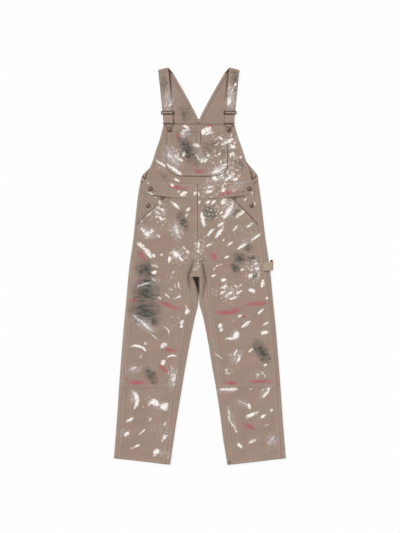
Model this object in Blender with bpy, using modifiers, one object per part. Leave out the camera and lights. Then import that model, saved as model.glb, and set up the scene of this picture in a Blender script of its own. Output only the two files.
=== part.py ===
"""Paint spattered dungarees, laid flat on their back and facing up.

Every piece of cloth is its own wall, cut as a grid of points and given its
thickness. Sizes are in millimetres: x runs across the garment, h up it from
the lowest point of the hems, and z up from the surface that it lies on.
The origin is under the middle of the garment, +Y points to the shoulders.
"""

import math
from collections import namedtuple

import bmesh
import bpy
from mathutils import Vector

MM = 0.001

# Driving sizes
LENGTH = 1551.0          # hem to the fold of the shoulders
CENTRE = -4.0            # line of the fly, the bib and the neck
CLOTH = 1.2              # thickness of one layer of duck canvas
GAP = 0.3                # left between two pieces at a seam
FOLD = 6.0               # height of a folded edge
LAY = 2.4                # air between front and back panel away from the folds
EASE = 70.0              # width over which the front comes down from a fold
HEM_RISE = 26.0          # how much higher the hem is at its outer corner
WAIST_RISE = 24.0        # how much higher the waist seam is at the side
CROTCH = 733.0
WAIST = 1037.0           # lower edge of the waistband at the centre
WAIST_TOP = 1095.0
NOTCH = 1349.0           # bottom of the V of the back
ARM_END = 1532.0         # where the strap is sewn to the folded shoulder
BAND = 2.2               # thickness of the waistband
KNEE_TOP = 791.0
KNEE_BOTTOM = 303.0
CROTCH_FOLD = 2.9        # height of the pressed fold under the crotch

Silhouette = namedtuple("Silhouette", "height half_left half_right lip_left lip_right")
SILHOUETTE = (
    Silhouette(0, 335.5, 335.5, 16, 16),
    Silhouette(180, 323.5, 323, 16, 16),
    Silhouette(305, 315.5, 314.5, 16, 16),
    Silhouette(487, 301.5, 300.5, 16, 16),
    Silhouette(653, 286.5, 284.5, 16, 17),
    Silhouette(757, 277, 274.5, 15, 18),
    Silhouette(877, 260.5, 257, 12, 22),
    Silhouette(942, 252.5, 248, 10, 24),
    Silhouette(1037, 239.5, 234.5, 13, 21),
    Silhouette(1072, 233.5, 229.5, 10, 20),
    Silhouette(1095, 228, 227, 18, 25),
)

Inside = namedtuple("Inside", "height edge_left edge_right seam_left seam_right")
INSIDE_LEG = (
    Inside(0, -116, 107, -133, 124),
    Inside(100, -101.5, 91, -121.5, 111),
    Inside(190, -88, 79.5, -111, 102.5),
    Inside(305, -69, 62, -95, 88),
    Inside(370, -58.5, 50, -85.5, 78),
    Inside(487, -37, 30.5, -66, 59.5),
    Inside(571, -20, 13.5, -50, 44.5),
    Inside(643, -4.7, -3.3, -37, 31),
    Inside(690, -4.15, -3.85, -42, 29),
    Inside(733, -4.15, -3.85, -48, 27),
    Inside(900, -4.15, -3.85, -45, 33),
    Inside(1037, -4.15, -3.85, -42, 38),
)

Wedge = namedtuple("Wedge", "height left right")
CROTCH_WEDGE = (
    Wedge(643, -6.5, -1.0),
    Wedge(688, -16, -0.5),
    Wedge(733, -31, 2.5),
)

Rise = namedtuple("Rise", "height x")
RISE = (
    Rise(733, -13),
    Rise(780, -11),
    Rise(877, -9),
    Rise(1037, -9),
)

BibEdge = namedtuple("BibEdge", "height left right")
BIB_EDGE = (
    BibEdge(1095, -209.5, 202),
    BibEdge(1129, -201, 196),
    BibEdge(1183, -183.5, 180),
    BibEdge(1228, -170, 166),
    BibEdge(1284, -151.5, 146.5),
    BibEdge(1327, -141, 134.5),
)

BackEdge = namedtuple("BackEdge", "height left right")
BACK_EDGE = (
    BackEdge(1095, -227.5, 227),
    BackEdge(1106, -224.5, 225),
    BackEdge(1128, -210, 214),
    BackEdge(1152, -194, 200),
    BackEdge(1183, -174, 180),
    BackEdge(1228, -156, 150),
    BackEdge(1284, -144, 137),
    BackEdge(1349, -139, 131),
    BackEdge(1440, -150, 142),
    BackEdge(1540, -162, 154),
)

LOW_ROWS = (0, 50, 105, 170, 235, 303, 370, 435, 500, 565, 615, 643, 665, 690, 712, 733)
HIGH_ROWS = (762, 791, 830, 877, 920, 942, 965, 990, 1013, 1037)
BAND_ROWS = (1066, 1095)
BIB_ROWS = (1095, 1112, 1129, 1156, 1183, 1206, 1228, 1256, 1284, 1306, 1327)
BACK_ROWS = (1095, 1106, 1128, 1152, 1183, 1228, 1284, 1349, 1395, 1440, 1490, 1530)

CANVAS = "duck canvas"
WEBBING = "cotton webbing"
METAL = "antique brass"


# Curves through the tables

def smooth(t):
    t = min(max(t, 0.0), 1.0)
    return t * t * (3.0 - 2.0 * t)


def mix(a, b, t):
    return a + (b - a) * t


def read(rows, height, column):
    """Reads a column of a table at a height, on a smooth curve through its rows."""
    heights = [row.height for row in rows]
    values = [getattr(row, column) for row in rows]
    if height <= heights[0]:
        return values[0]
    if height >= heights[-1]:
        return values[-1]
    i = max(k for k, start in enumerate(heights) if start <= height)
    slopes = [(values[k + 1] - values[k]) / (heights[k + 1] - heights[k]) for k in range(len(rows) - 1)]

    def tangent(k):
        if k == 0 or k == len(slopes):
            return slopes[min(k, len(slopes) - 1)]
        before, after = slopes[k - 1], slopes[k]
        return 0.0 if before * after <= 0 else 2 * before * after / (before + after)

    span = heights[i + 1] - heights[i]
    t = (height - heights[i]) / span
    return (values[i] * (1 + 2 * t) * (1 - t) ** 2 + values[i + 1] * t * t * (3 - 2 * t)
            + span * (tangent(i) * t * (1 - t) ** 2 - tangent(i + 1) * t * t * (1 - t)))


# The form of the garment. side is -1 for the left leg and 1 for the right one.

def named(column, side):
    return column + ("_left" if side < 0 else "_right")


def fold_x(side, height):
    """The folded outer edge."""
    return side * read(SILHOUETTE, height, named("half", side))


def side_seam(side, height):
    """The seam on the front where the back panel's lip ends."""
    return fold_x(side, height) - side * read(SILHOUETTE, height, named("lip", side))


def inner_edge(side, height):
    return read(INSIDE_LEG, height, named("edge", side))


def inseam(side, height):
    return read(INSIDE_LEG, height, named("seam", side))


def bib_edge(side, height):
    return read(BIB_EDGE, height, "left" if side < 0 else "right")


def pocket_mouth(side, height):
    """The slanted edge of the hip pocket, or None under it."""
    top, bottom = (128, 243) if side < 0 else (119, 224)
    return side * mix(bottom, top, min(max((height - 930) / (WAIST - 930), 0.0), 1.0))


def true_height(x, height):
    """Adds the slant of the hems and the curve of the waist to a row's height."""
    hem = HEM_RISE * min(max((abs(x) - 111) / 224, 0.0), 1.0) * min(max(1 - height / 220, 0.0), 1.0)
    waist = WAIST_RISE * (x / 230) ** 2
    up = smooth((height - 880) / (WAIST - 880)) * (1 - smooth((height - WAIST_TOP) / 110))
    return height + hem + waist * up


def front_z(x, height):
    """Underside of the front layer, which comes down from the folds to lie on the back."""
    side = -1 if x < CENTRE else 1
    from_side = side * (side_seam(side, height) - x)
    from_leg = math.hypot(max(side * (x - inseam(side, height)), 0.0), max(height - CROTCH, 0.0))
    low = smooth(min(from_side, from_leg) / EASE)
    high = FOLD - 2 * CLOTH
    over_bib = 1 - smooth((height - WAIST_TOP) / 85)
    return CLOTH + mix(LAY, high, (1 - low) * over_bib)


# Making the pieces

def material(name, colour, roughness, metallic):
    made = bpy.data.materials.new(name)
    made.use_nodes = True
    shader = made.node_tree.nodes["Principled BSDF"]
    shader.inputs["Base Color"].default_value = (*colour, 1)
    shader.inputs["Roughness"].default_value = roughness
    shader.inputs["Metallic"].default_value = metallic
    return made


def place(x, h, z):
    return Vector((x, h - LENGTH / 2, z)) * MM


def add_object(name, mesh, finish):
    mesh.materials.append(bpy.data.materials[finish])
    made = bpy.data.objects.new(name, mesh)
    bpy.data.collections["dungarees"].objects.link(made)
    return made


def add_cloth(name, grid, thickness=CLOTH, flip=False, offset=1.0, finish=CANVAS):
    """Makes a wall from rows of points (x, h, z). A point that is None leaves a notch.

    Points run with x and rows with h, so the faces look up; flip turns them down.
    """
    bm = bmesh.new()
    made = {}
    for row in grid:
        for point in row:
            if point is not None and point not in made:
                made[point] = bm.verts.new(place(*point))
    for low, high in zip(grid, grid[1:]):
        for corners in zip(low, low[1:], high[1:], high):
            if None not in corners:
                ring = [made[corner] for corner in corners]
                bm.faces.new(ring[::-1] if flip else ring)
    mesh = bpy.data.meshes.new(name)
    bm.to_mesh(mesh)
    bm.free()
    cloth = add_object(name, mesh, finish)
    wall = cloth.modifiers.new("wall", "SOLIDIFY")
    wall.thickness = thickness * MM
    wall.offset = offset
    wall.use_quality_normals = True
    cloth.data.shade_smooth()
    return cloth


def spread(start, end, count):
    return [mix(start, end, k / count) for k in range(count + 1)]


def fold_arc(x, outward, height, count=4):
    """Points round a folded edge, from its top to its bottom."""
    r = height / 2
    return [(x + outward * r * (math.sin(math.pi * k / count) - 1), r + r * math.cos(math.pi * k / count))
            for k in range(count + 1)]


def add_back_leg(name, side):
    """From the side seam on the front, round the outer fold, under the leg and
    round the inner fold to the inseam. The inner lip ends at the crotch."""
    grid = []
    for height in LOW_ROWS + HIGH_ROWS + BAND_ROWS:
        outer = fold_x(side, height)
        path = [(side_seam(side, height), FOLD)] + fold_arc(outer, side, FOLD)
        edge = inner_edge(side, height)
        has_lip = height <= CROTCH
        press = mix(FOLD, CROTCH_FOLD, smooth((height - 630) / 40))
        inner = edge + side * press / 2 if has_lip else edge
        path += [(x, 0.0) for x in spread(outer - side * FOLD / 2, inner, 6)[1:]]
        if has_lip:
            path += fold_arc(edge, -side, press)[::-1][1:]
            path += inner_lip(side, height, edge + side * press / 2, press)
        else:
            path += [None] * 7
        drop = GAP if height == CROTCH else 0.0
        row = []
        for column, point in enumerate(path):
            on_lip = column > 11
            row.append(point and (point[0], true_height(point[0], height) - on_lip * drop, point[1]))
        grid.append(row)
    add_cloth(name, grid, flip=side < 0, offset=-1.0)


def inner_lip(side, height, start, press):
    """The part of the back panel that shows between the inner fold and the inseam.
    Under the crotch it is pressed down inside a narrow wedge."""
    end = inseam(side, height) - side * GAP / 2
    if height <= 643:
        return [(x, FOLD) for x in spread(start, end, 3)[1:]]
    wedge = read(CROTCH_WEDGE, height, "left" if side < 0 else "right")
    foot = start + side * max(side * (wedge - start) - 3.0, 0.8)
    return [(foot, press), (foot + side * 3.0, FOLD), (end, FOLD)]


def front_grid(side, rows):
    """The front leg panel: seven strips to the inseam's line and two more to the rise."""
    grid = []
    for height in rows:
        seam = side_seam(side, height) - side * GAP / 2
        if height > 930:
            mouth = pocket_mouth(side, height)
            seam = min(seam, mouth) if side > 0 else max(seam, mouth)
        leg = inseam(side, height) + side * GAP / 2
        centre = read(RISE, height, "x") + side * GAP / 2
        xs = spread(seam, leg, 7)
        xs += spread(leg, centre, 2)[1:] if height >= CROTCH else [None, None]
        if side > 0:
            xs.reverse()
        grid.append([None if x is None else (x, true_height(x, height), front_z(x, height)) for x in xs])
    return grid


def lifted(grid, up):
    """The same points, moved up."""
    return [[point and (point[0], point[1], point[2] + up) for point in row] for row in grid]


def add_front_leg(name, side):
    add_cloth(name, lower_top(front_grid(side, LOW_ROWS + HIGH_ROWS)))


def lower_top(grid):
    """Leaves the seam's gap under the piece above."""
    return grid[:-1] + [[point and (point[0], point[1] - GAP, point[2]) for point in grid[-1]]]


def add_knee_patch(name, side):
    rows = [height for height in LOW_ROWS + HIGH_ROWS if KNEE_BOTTOM <= height <= KNEE_TOP]
    add_cloth(name, lifted(front_grid(side, rows), CLOTH + GAP))


def facing_z(side, x, height):
    """The hip facing lies under the front at the pocket's mouth and rises to the side seam."""
    clear = side * (x - pocket_mouth(side, height))
    return front_z(x, height) - mix(1.8, 0.3, smooth(clear / 30))


def add_hip_facing(name, side):
    under = 16.0
    grid = []
    for height in (942, 965, 990, 1013, 1037):
        seam = side_seam(side, height) - side * GAP / 2
        inner = pocket_mouth(side, height) - side * under
        xs = sorted(spread(inner, seam, 5))
        grid.append([(x, true_height(x, height), facing_z(side, x, height)) for x in xs])
    add_cloth(name, lower_top(grid))


def add_waistband(name, side):
    grid = []
    for height in (WAIST, *BAND_ROWS):
        end = side_seam(side, height) - side * GAP / 2
        xs = sorted(spread(end, -9 + side * GAP / 2, 7))
        grid.append([(x, true_height(x, height), front_z(x, height)) for x in xs])
    add_cloth(name, lower_top(grid), thickness=BAND)


def add_bib(name):
    grid = []
    for height in BIB_ROWS:
        xs = spread(bib_edge(-1, height), bib_edge(1, height), 14)
        grid.append([(x, true_height(x, height), front_z(x, height)) for x in xs])
    add_cloth(name, grid)


def add_bib_pocket(name):
    """A patch pocket with rounded lower corners. Its left part and the pen slot stand taller."""
    left, right, bottom = -128.0, 108.0, 1126.0
    step, tall = 1252.0, 1298.0
    division, pen = -12.0, 3.0
    corner_x, corner_h = 52.0, 38.0
    xs = ([left, left + 8, left + 24, left + corner_x, -44.0, division, pen, 30.0]
          + [right - corner_x, right - 24, right - 8, right])
    z = front_z(CENTRE, 1200) + CLOTH + GAP
    grid = []
    for level in (0.0, 0.2, 0.5, 1.0):
        row = []
        for x in xs:
            into = max(left + corner_x - x, x - (right - corner_x), 0.0) / corner_x
            low = bottom + corner_h * (1 - math.sqrt(1 - into * into))
            row.append((x, mix(low, step, level), z))
        grid.append(row)
    for height in (step + 23, tall):
        grid.append([(x, height, z) if x <= pen else None for x in xs])
    add_cloth(name, grid)


def neck_edge(height):
    """How far the V of the back is open to each side."""
    return 3.0 + 110.0 * ((height - NOTCH) / 200) ** 1.08


def shoulder_top(reach):
    """The fold of the shoulder slants down to the arm."""
    return LENGTH - 0.25 * (reach - 118.0)


def add_back_bib(name):
    """The high back: flat to the V, then two arms that fold over at the shoulders."""
    r = FOLD / 2
    grid = []
    for height in BACK_ROWS:
        seam = GAP if height == WAIST_TOP else 0.0
        inner = neck_edge(height) if height > NOTCH else 0.0
        row = []
        for side in (-1, 1):
            edge = read(BACK_EDGE, height, "left" if side < 0 else "right")
            xs = sorted(spread(CENTRE + side * inner, edge, 5))
            row += [(x, true_height(x, height) + seam, 0.0) for x in xs] + [None]
        grid.append(row[:-1])
    for k in range(5):
        angle = math.pi * k / 4
        up, z = r * math.sin(angle) - r, r - r * math.cos(angle)
        grid.append(arm_row(118.0, 158.5, lambda reach: shoulder_top(reach) + up, z))
    grid.append(arm_row(117.5, 158.0, lambda reach: ARM_END, FOLD))
    add_cloth(name, grid, flip=True, offset=-1.0)


def arm_row(inner, outer, level, z):
    row = []
    for side in (-1, 1):
        reaches = spread(inner, outer, 5)[::side]
        row += [(CENTRE + side * reach, level(reach), z) for reach in reaches] + [None]
    return row[:-1]


def strap_centre(h):
    return 122.5 + 16.0 * (h - 1380.0) / 171.0


SLIDER_H = 1373.5
BAR_STEP = 6.1
HOOK_H = 1335.0
HOOK_Z = 4.5
LOOP = 2.4

StrapPoint = namedtuple("StrapPoint", "h z")
STRAP_DOWN = (
    StrapPoint(ARM_END - GAP, 5.4),
    StrapPoint(1512, 4.7),
    StrapPoint(1488, 2.8),
    StrapPoint(1462, 2.1),
    StrapPoint(1420, 2.1),
    StrapPoint(1384, 2.1),
    StrapPoint(1377.2, 2.1),
    StrapPoint(1375.2, 5.5),
    StrapPoint(1371.8, 5.5),
    StrapPoint(1369.8, 2.1),
    StrapPoint(1365.6, 2.1),
    StrapPoint(1361.5, 4.0),
    StrapPoint(1351, 5.2),
    StrapPoint(1342, 6.5),
)


def add_strap(name, side):
    """Down from the shoulder, through the slider, round the hook's bar and back up."""
    path = list(STRAP_DOWN)
    for k in range(7):
        angle = math.pi * k / 6
        path.append(StrapPoint(HOOK_H - LOOP * math.sin(angle), HOOK_Z + LOOP * math.cos(angle)))
    path += [StrapPoint(1347, 2.1), StrapPoint(1359.5, 2.1)]
    grid = []
    for h, z in path:
        centre = CENTRE + side * strap_centre(h)
        half = mix(18.9, 20.3, (h - 1335) / 200)
        grid.append([(x, h, z) for x in spread(centre - half, centre + half, 2)])
    add_cloth(name, grid, offset=0.0, flip=True)


LoopPoint = namedtuple("LoopPoint", "out z up")
HAMMER_LOOP = (
    LoopPoint(-12.0, 8.85, 0.0),
    LoopPoint(-4.0, 8.85, 0.0),
    LoopPoint(4.0, 8.6, 0.0),
    LoopPoint(12.0, 8.0, 0.0),
    LoopPoint(19.0, 7.3, 0.3),
    LoopPoint(24.4, 6.2, 1.2),
    LoopPoint(27.6, 4.9, 3.0),
    LoopPoint(28.6, 3.7, 5.0),
    LoopPoint(27.4, 2.4, 7.0),
    LoopPoint(24.0, 1.3, 8.5),
    LoopPoint(18.9, 1.0, 10.0),
)
LOOP_LOW, LOOP_HIGH = 757.0, 790.0


def add_hammer_loop(name):
    """A webbing loop sewn on beside the right side seam, out over the fold and twisted back beside it."""
    seam = side_seam(1, LOOP_LOW) + 0.4
    grid = []
    for h in spread(LOOP_LOW, LOOP_HIGH, 2):
        grid.append([(seam + point.out, h + point.up, point.z) for point in HAMMER_LOOP])
    add_cloth(name, grid, thickness=2.0, offset=0.0, finish=WEBBING)


# Metal parts

def curve_mesh(name, splines, cyclic, bevel=0.0, extrude=0.0):
    """Makes a wire, or with extrude a plate with holes, from rows of (x, h, z)."""
    data = bpy.data.curves.new(name, "CURVE")
    data.dimensions = "2D" if extrude else "3D"
    data.fill_mode = "BOTH" if extrude else "FULL"
    data.bevel_depth = bevel * MM
    data.bevel_resolution = 2
    data.extrude = extrude * MM
    data.use_fill_caps = not cyclic
    for points in splines:
        spline = data.splines.new("POLY")
        spline.points.add(len(points) - 1)
        spline.use_cyclic_u = cyclic
        for target, point in zip(spline.points, points):
            target.co = (*(Vector(point) * MM), 1)
    source = bpy.data.objects.new(name + "_curve", data)
    bpy.context.scene.collection.objects.link(source)
    bpy.context.view_layer.update()
    mesh = bpy.data.meshes.new_from_object(source.evaluated_get(bpy.context.evaluated_depsgraph_get()))
    bpy.data.objects.remove(source)
    bm = bmesh.new()
    bm.from_mesh(mesh)
    bmesh.ops.remove_doubles(bm, verts=bm.verts, dist=0.00001)
    bm.to_mesh(mesh)
    bm.free()
    return mesh


def rounded_box(half_x, half_h, radius, centre_h=0.0):
    points = []
    for quarter in range(4):
        cx = (half_x - radius) * (1 if quarter in (0, 3) else -1)
        ch = (half_h - radius) * (1 if quarter in (0, 1) else -1)
        for k in range(4):
            angle = math.pi / 2 * (quarter + k / 3)
            points.append((cx + radius * math.cos(angle), centre_h + ch + radius * math.sin(angle), 0.0))
    return points


def add_slider(name, side):
    """A stamped frame of 50 by 15 mm with two windows and a centre bar."""
    bar = 3.0
    plate = 0.8
    window = (BAR_STEP - bar) / 2
    outlines = [rounded_box(25.2, BAR_STEP + bar / 2, 2.5)]
    for up in (-1, 1):
        outlines.append(rounded_box(21.2, window, 0.8, up * BAR_STEP / 2))
    slider = add_object(name, curve_mesh(name, outlines, True, extrude=plate), METAL)
    slider.location = place(CENTRE + side * strap_centre(SLIDER_H), SLIDER_H, 3.0 + plate)


BUTTON_H = 1308.0
BUTTON_REACH = 115.6
WIRE = 1.3
RING = 5.6
RING_Z = 6.5


def add_hook(name, side):
    """A bent wire: a bar through the strap's loop and a keyhole round the button's shank."""
    drop = HOOK_H - BUTTON_H
    half = 21.0
    points = [(-half + 2, 0.0), (0.0, 0.0), (half - 2, 0.0), (half - 0.5, -0.7), (half, -2.5)]
    points += [(half - 2.4, -7.0), (13.5, -12.5), (8.2, -18.0), (RING, -23.5)]
    for k in range(9):
        angle = math.pi * k / 8
        points.append((RING * math.cos(angle), -drop - RING * math.sin(angle)))
    points += [(-x, h) for x, h in reversed(points[3:9])]
    lean = side * (BUTTON_REACH - strap_centre(HOOK_H)) / drop
    path = [(x - lean * h, h, mix(HOOK_Z, RING_Z, smooth(-h / 8))) for x, h in points]
    hook = add_object(name, curve_mesh(name, [path], True, bevel=WIRE), METAL)
    hook.location = place(CENTRE + side * strap_centre(HOOK_H), HOOK_H, 0)


def add_turned(name, profile, x, h, z):
    """Turns a profile of (radius, height), listed from the top down, about Z."""
    mesh = bpy.data.meshes.new(name)
    points = [Vector((radius, 0, up)) * MM for radius, up in profile]
    mesh.from_pydata(points, [(k, k + 1) for k in range(len(points) - 1)], [])
    turned = add_object(name, mesh, METAL)
    turn = turned.modifiers.new("turn", "SCREW")
    turn.steps = turn.render_steps = 20
    turn.use_merge_vertices = True
    turn.merge_threshold = 0.00001
    turned.location = place(x, h, z)
    return turned


BUTTON_CAP = ((0, 2.2), (3.0, 2.1), (4.4, 1.7), (5.4, 1.75), (7.2, 2.4),
              (8.2, 2.0), (8.5, 1.2), (8.0, 0.2), (7.0, 0.0))


def add_button(name, x, h, seat, shank):
    """A jeans button: a domed cap with a rolled rim on a short shank."""
    profile = [(radius, up + shank) for radius, up in BUTTON_CAP]
    profile += [(3.2, shank), (3.0, 0.0), (0, 0.0)]
    add_turned(name, profile, x, h, seat)


def highest(surface, x, h):
    """The highest point of a surface under a button's shank."""
    return max(surface(x + dx, h) for dx in (-3.2, 0.0, 3.2))


def add_buttons():
    for label, side in (("left", -1), ("right", 1)):
        bib_top = front_z(CENTRE, 1300) + CLOTH
        add_button(f"bib_button_{label}", CENTRE + side * BUTTON_REACH, BUTTON_H, bib_top + GAP, 3.2)
        upper = side * 193.0
        seat = highest(front_z, upper, 1060) + BAND + GAP
        add_button(f"side_button_{label}_upper", upper, true_height(upper, 1060), seat, 0.5)
        lower = side * 202.0
        seat = highest(lambda x, h: facing_z(side, x, h), lower, 996) + CLOTH + GAP
        add_button(f"side_button_{label}_lower", lower, true_height(lower, 996), seat, 0.5)


def main():
    for old in list(bpy.data.objects):
        bpy.data.objects.remove(old)
    pieces = bpy.data.collections.new("dungarees")
    bpy.context.scene.collection.children.link(pieces)
    material(CANVAS, (0.35, 0.26, 0.20), 0.9, 0.0)
    material(WEBBING, (0.40, 0.34, 0.24), 0.9, 0.0)
    material(METAL, (0.16, 0.09, 0.05), 0.4, 1.0)
    for label, side in (("left", -1), ("right", 1)):
        add_back_leg(f"back_leg_{label}", side)
        add_front_leg(f"front_leg_{label}", side)
        add_knee_patch(f"knee_patch_{label}", side)
        add_hip_facing(f"hip_facing_{label}", side)
        add_waistband(f"waistband_{label}", side)
        add_strap(f"strap_{label}", side)
        add_slider(f"slider_{label}", side)
        add_hook(f"hook_{label}", side)
    add_back_bib("back_bib")
    add_bib("front_bib")
    add_bib_pocket("bib_pocket")
    add_hammer_loop("hammer_loop")
    add_buttons()


main()
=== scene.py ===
"""Looks of the paint spattered dungarees, laid flat on their back and facing up.

The garment's pattern is kept in millimetres: x across it, h up it from the hems
and z up from what it lies on. Every piece of cloth is a grid of points on that
pattern, with a wall, a felled seam along each sewn edge and the soft creases of
worn duck canvas. Paint is a table of brush marks, each with a place on the
pattern, and the canvas carries each mark's own coordinates to its shader.
"""

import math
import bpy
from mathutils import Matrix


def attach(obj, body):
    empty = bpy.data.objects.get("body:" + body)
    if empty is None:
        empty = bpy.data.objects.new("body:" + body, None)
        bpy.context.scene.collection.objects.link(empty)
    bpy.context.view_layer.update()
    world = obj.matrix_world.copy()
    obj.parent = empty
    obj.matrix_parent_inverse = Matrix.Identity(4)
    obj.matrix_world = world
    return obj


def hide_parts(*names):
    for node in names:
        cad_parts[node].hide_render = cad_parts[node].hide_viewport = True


bl_info = {
    "name": "Paint spattered dungarees",
    "version": (1, 0, 0),
    "blender": (4, 5, 0),
    "location": "View3D > Sidebar > Dungarees",
    "description": "Dresses the dungarees' frame in painted canvas, thread and brass",
    "category": "Object",
}

from collections import namedtuple
from functools import partial, reduce

import bmesh
import bpy
import numpy as np
from bpy.props import FloatProperty, FloatVectorProperty, PointerProperty
from mathutils import Matrix, Vector

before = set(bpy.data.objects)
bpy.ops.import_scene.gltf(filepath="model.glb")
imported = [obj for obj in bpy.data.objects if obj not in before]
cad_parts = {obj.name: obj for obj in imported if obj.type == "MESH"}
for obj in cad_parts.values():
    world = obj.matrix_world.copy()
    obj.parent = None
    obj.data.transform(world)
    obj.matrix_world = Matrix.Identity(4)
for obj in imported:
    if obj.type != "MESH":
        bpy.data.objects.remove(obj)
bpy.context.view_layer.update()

MM = 0.001
WELD = 0.00001           # points nearer than this are one
SIDES = (("left", -1), ("right", 1))
FINISHES = {"canvas": "painted duck canvas", "webbing": "cotton webbing", "brass": "antique brass"}


def table(row_type, *rows):
    """Rows with named columns."""
    return tuple(row_type(*row) for row in rows)


# The pattern, as the frame was built

LENGTH = 1551.0          # hem to the fold of the shoulders
CENTRE = -4.0            # line of the fly, the bib and the neck
CLOTH = 1.2              # one layer of duck canvas
GAP = 0.3                # between two pieces at a seam
FOLD = 6.0               # height of a folded edge
LAY = 2.4                # air between front and back
EASE = 70.0              # width over which the front comes down from a fold
HEM_RISE = 26.0
WAIST_RISE = 24.0
CROTCH = 733.0
WAIST = 1037.0
WAIST_TOP = 1095.0
NOTCH = 1349.0
ARM_END = 1532.0
BAND = 2.2               # thickness of the waistband
KNEE_TOP = 791.0
KNEE_BOTTOM = 303.0
CROTCH_FOLD = 2.9        # height of the legs' inner fold beside the crotch
WEDGE_LOW = 643.0        # below this the legs lie apart
MOUTH_FOOT = 930.0       # lower end of the hip pocket's slanted mouth
FLY = -9.0

SILHOUETTE = table(
    namedtuple("Silhouette", "height half_left half_right lip_left lip_right"),
    (0, 335.5, 335.5, 16, 16), (180, 323.5, 323, 16, 16), (305, 315.5, 314.5, 16, 16),
    (487, 301.5, 300.5, 16, 16), (653, 286.5, 284.5, 16, 17), (757, 277, 274.5, 15, 18),
    (877, 260.5, 257, 12, 22), (942, 252.5, 248, 10, 24), (1037, 239.5, 234.5, 13, 21),
    (1072, 233.5, 229.5, 10, 20), (1095, 228, 227, 18, 25),
)

INSIDE_LEG = table(
    namedtuple("Inside", "height edge_left edge_right seam_left seam_right"),
    (0, -116, 107, -133, 124), (100, -101.5, 91, -121.5, 111), (190, -88, 79.5, -111, 102.5),
    (305, -69, 62, -95, 88), (370, -58.5, 50, -85.5, 78), (487, -37, 30.5, -66, 59.5),
    (571, -20, 13.5, -50, 44.5), (643, -4.7, -3.3, -37, 31), (690, -4.15, -3.85, -42, 29),
    (733, -4.15, -3.85, -48, 27), (900, -4.15, -3.85, -45, 33), (1037, -4.15, -3.85, -42, 38),
)

Edge = namedtuple("Edge", "height left right")
CROTCH_WEDGE = table(
    Edge,
    (643, -7, -1.2), (667, -10, -3.2), (692, -14.5, -5.2), (712, -22, -4.2), (733, -31, 2.5),
)

RISE = table(
    namedtuple("Rise", "height x"),
    (733, -13), (780, -11), (877, -9), (1037, -9),
)

BIB_EDGE = table(
    Edge,
    (1095, -209.5, 202), (1129, -201, 196), (1183, -183.5, 180), (1228, -170, 166), (1284, -151.5, 146.5),
    (1327, -141, 134.5),
)
BACK_EDGE = table(
    Edge,
    (1095, -227.5, 227), (1106, -224.5, 225), (1128, -210, 214), (1152, -194, 200), (1183, -174, 180),
    (1228, -156, 150), (1284, -144, 137), (1349, -139, 131), (1440, -150, 142), (1540, -162, 154),
)
BIB_TOP = BIB_EDGE[-1].height

# Soft creases of the front, from one end to the other; height is negative in a trough
CREASES = table(
    namedtuple("Crease", "x0 h0 x1 h1 width height"),
    (-60, 765, -175, 850, 15, 1.3), (-52, 745, -200, 790, 12, -1.0), (-30, 790, -85, 905, 12, 1.0),
    (-40, 850, -120, 960, 14, -0.7), (38, 768, 160, 852, 15, 1.3), (34, 742, 190, 782, 12, -1.0),
    (18, 795, 62, 910, 12, 1.0), (30, 860, 120, 955, 14, -0.7), (-75, 668, -235, 640, 15, 1.2),
    (-85, 628, -205, 606, 11, -0.9), (60, 672, 215, 640, 15, 1.1), (70, 630, 240, 618, 11, -0.9),
    (-95, 548, -285, 520, 17, 1.5), (-115, 505, -262, 492, 12, -1.1), (-100, 462, -280, 470, 15, 1.2),
    (78, 552, 262, 530, 17, 1.4), (92, 512, 270, 492, 12, -1.1), (85, 468, 240, 455, 15, 1.2),
    (-118, 392, -292, 372, 14, 1.0), (105, 398, 288, 384, 14, 1.0), (-150, 285, -170, 95, 18, 1.4),
    (-205, 300, -222, 60, 22, -1.2), (-262, 270, -276, 120, 16, 1.3), (140, 290, 160, 85, 18, 1.3),
    (196, 305, 214, 55, 22, -1.2), (252, 280, 268, 110, 16, 1.2), (-182, 70, -240, 18, 14, 1.2),
    (176, 72, 250, 22, 14, 1.1), (-108, 1028, -58, 950, 12, 1.0), (100, 1026, 56, 948, 12, 0.9),
    (-160, 930, -205, 850, 13, 1.0), (150, 925, 196, 852, 13, 0.9), (-156, 1136, -122, 1094, 5, 1.3),
    (-172, 1160, -140, 1118, 7, -0.9), (150, 1150, 118, 1098, 8, 0.9), (-52, 1268, -22, 1150, 16, 1.1),
    (48, 1240, 74, 1140, 16, 1.0), (-96, 1290, -80, 1190, 14, -0.8), (-15, 1120, 90, 1104, 9, 0.8),
)
LOWEST_DIP = -1.8        # the front never reaches the back panel under it
RIPPLE_SEED = 7

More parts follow.
